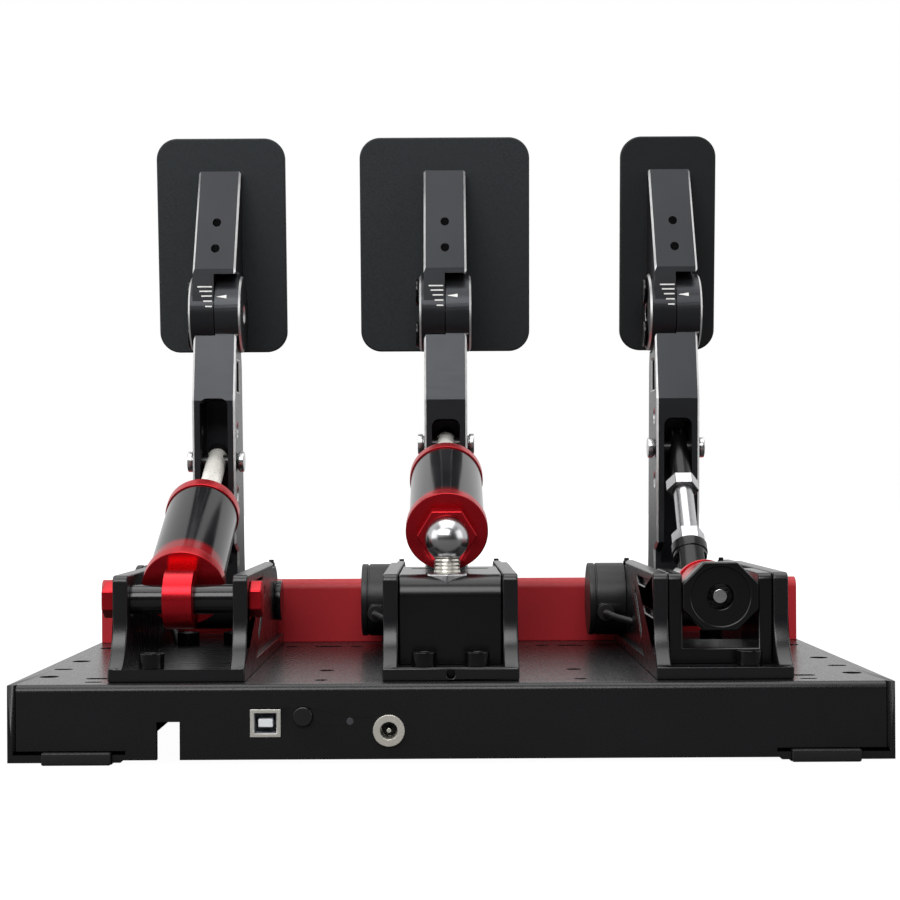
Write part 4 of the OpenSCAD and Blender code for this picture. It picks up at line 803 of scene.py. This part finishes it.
class PEDALS_OT_stage(bpy.types.Operator):
    """Camera, lights, floor and world"""
    bl_idname = "pedals.stage"
    bl_label = "Stage"

    def execute(self, context):
        scene = context.scene
        stage = scene.pedal_stage
        camera = bpy.data.objects.new("rear_camera", bpy.data.cameras.new("rear_camera"))
        scene.collection.objects.link(camera)
        camera.location = (stage.eye_x, REAR_WALL - stage.distance, stage.eye_z)
        camera.rotation_euler = (radians(90), stage.roll, 0)
        camera.data.lens = stage.lens
        camera.data.sensor_width = SENSOR_WIDTH
        camera.data.shift_x = stage.shift_x
        camera.data.shift_y = stage.shift_y
        camera.data.clip_start = CLIP_START
        scene.camera = camera
        self.floor(scene)
        self.lights(scene)
        self.world(scene)
        scene.view_settings.view_transform = "Standard"
        return {"FINISHED"}

    @staticmethod
    def floor(scene):
        bm = bmesh.new()
        bmesh.ops.create_grid(bm, x_segments=1, y_segments=1, size=FLOOR_HALF)
        mesh = bpy.data.meshes.new("floor")
        bm.to_mesh(mesh)
        bm.free()
        finish = Finish("floor", Roughness=0.9, Specular_IOR_Level=0.1)
        finish.set("Base Color", FLOOR_GREY)
        seen = finish.node("ShaderNodeLightPath", output="Is Camera Ray")
        share = finish.ramp(finish.length(finish.place()), *GLOW_REACH, *GLOW_SHARE)
        glow = finish.node("ShaderNodeEmission", inputs={"Color": WHITE, "Strength": FLOOR_GLOW})
        mix = finish.node("ShaderNodeMixShader", inputs={
            0: seen * share, 1: Wire(finish, finish.shader.outputs[0]), 2: glow})
        finish.feed(finish.tree.nodes["Material Output"].inputs["Surface"], mix)
        mesh.materials.append(finish.material)
        plate = bpy.data.objects.new("floor", mesh)
        scene.collection.objects.link(plate)

    @staticmethod
    def lights(scene):
        for name, place, size, power in PANELS:
            lamp = bpy.data.lights.new(name, "AREA")
            lamp.shape = "RECTANGLE"
            lamp.size, lamp.size_y = size
            lamp.energy = power
            panel = bpy.data.objects.new(name, lamp)
            panel.location = place
            panel.rotation_euler = (Vector(AIM) - Vector(place)).to_track_quat("-Z", "Y").to_euler()
            scene.collection.objects.link(panel)

    @staticmethod
    def world(scene):
        world = bpy.data.worlds.new("studio")
        world.use_nodes = True
        scene.world = world
        nodes = Nodes(world.node_tree)
        _, depth, _ = nodes.axes(nodes.node("ShaderNodeTexCoord", output="Generated"))
        room = nodes.ramp(depth, *ROOM_DEPTH, *ROOM_LEVEL)
        seen = nodes.node("ShaderNodeLightPath", output="Is Camera Ray")
        level = nodes.node("ShaderNodeMix", inputs={"Factor": seen, "A": room, "B": 1.0}, output="Result")
        background = world.node_tree.nodes["Background"]
        nodes.feed(background.inputs["Color"], WHITE)
        nodes.feed(background.inputs["Strength"], level)


class PEDALS_PT_panel(bpy.types.Panel):
    """Lists the pedal set's pieces"""
    bl_idname = "PEDALS_PT_panel"
    bl_label = "Pedal set"
    bl_space_type = "VIEW_3D"
    bl_region_type = "UI"
    bl_category = "Pedals"

    def draw(self, context):
        for operator in OPERATORS:
            self.layout.operator(operator.bl_idname)


GROUPS = {"pedal_colours": PedalColours, "pedal_edges": PedalEdges, "pedal_stage": PedalStage}
OPERATORS = (PEDALS_OT_stage, PEDALS_OT_base, PEDALS_OT_ports, PEDALS_OT_brackets, PEDALS_OT_arms,
             PEDALS_OT_heads, PEDALS_OT_scales, PEDALS_OT_struts, PEDALS_OT_leads)
CLASSES = (*GROUPS.values(), *OPERATORS, PEDALS_PT_panel)


def register():
    for item in CLASSES:
        bpy.utils.register_class(item)
    for name, group in GROUPS.items():
        setattr(bpy.types.Scene, name, bpy.props.PointerProperty(type=group))


def unregister():
    for name in GROUPS:
        delattr(bpy.types.Scene, name)
    for item in reversed(CLASSES):
        bpy.utils.unregister_class(item)


def main():
    register()
    FINISHES.update(make_finishes(bpy.context.scene.pedal_colours))
    bpy.ops.pedals.stage()
    bpy.ops.pedals.base()
    bpy.ops.pedals.ports()
    bpy.ops.pedals.brackets()
    bpy.ops.pedals.arms()
    bpy.ops.pedals.heads()
    bpy.ops.pedals.scales()
    bpy.ops.pedals.struts()
    bpy.ops.pedals.leads()


if __name__ == "__main__":
    main()
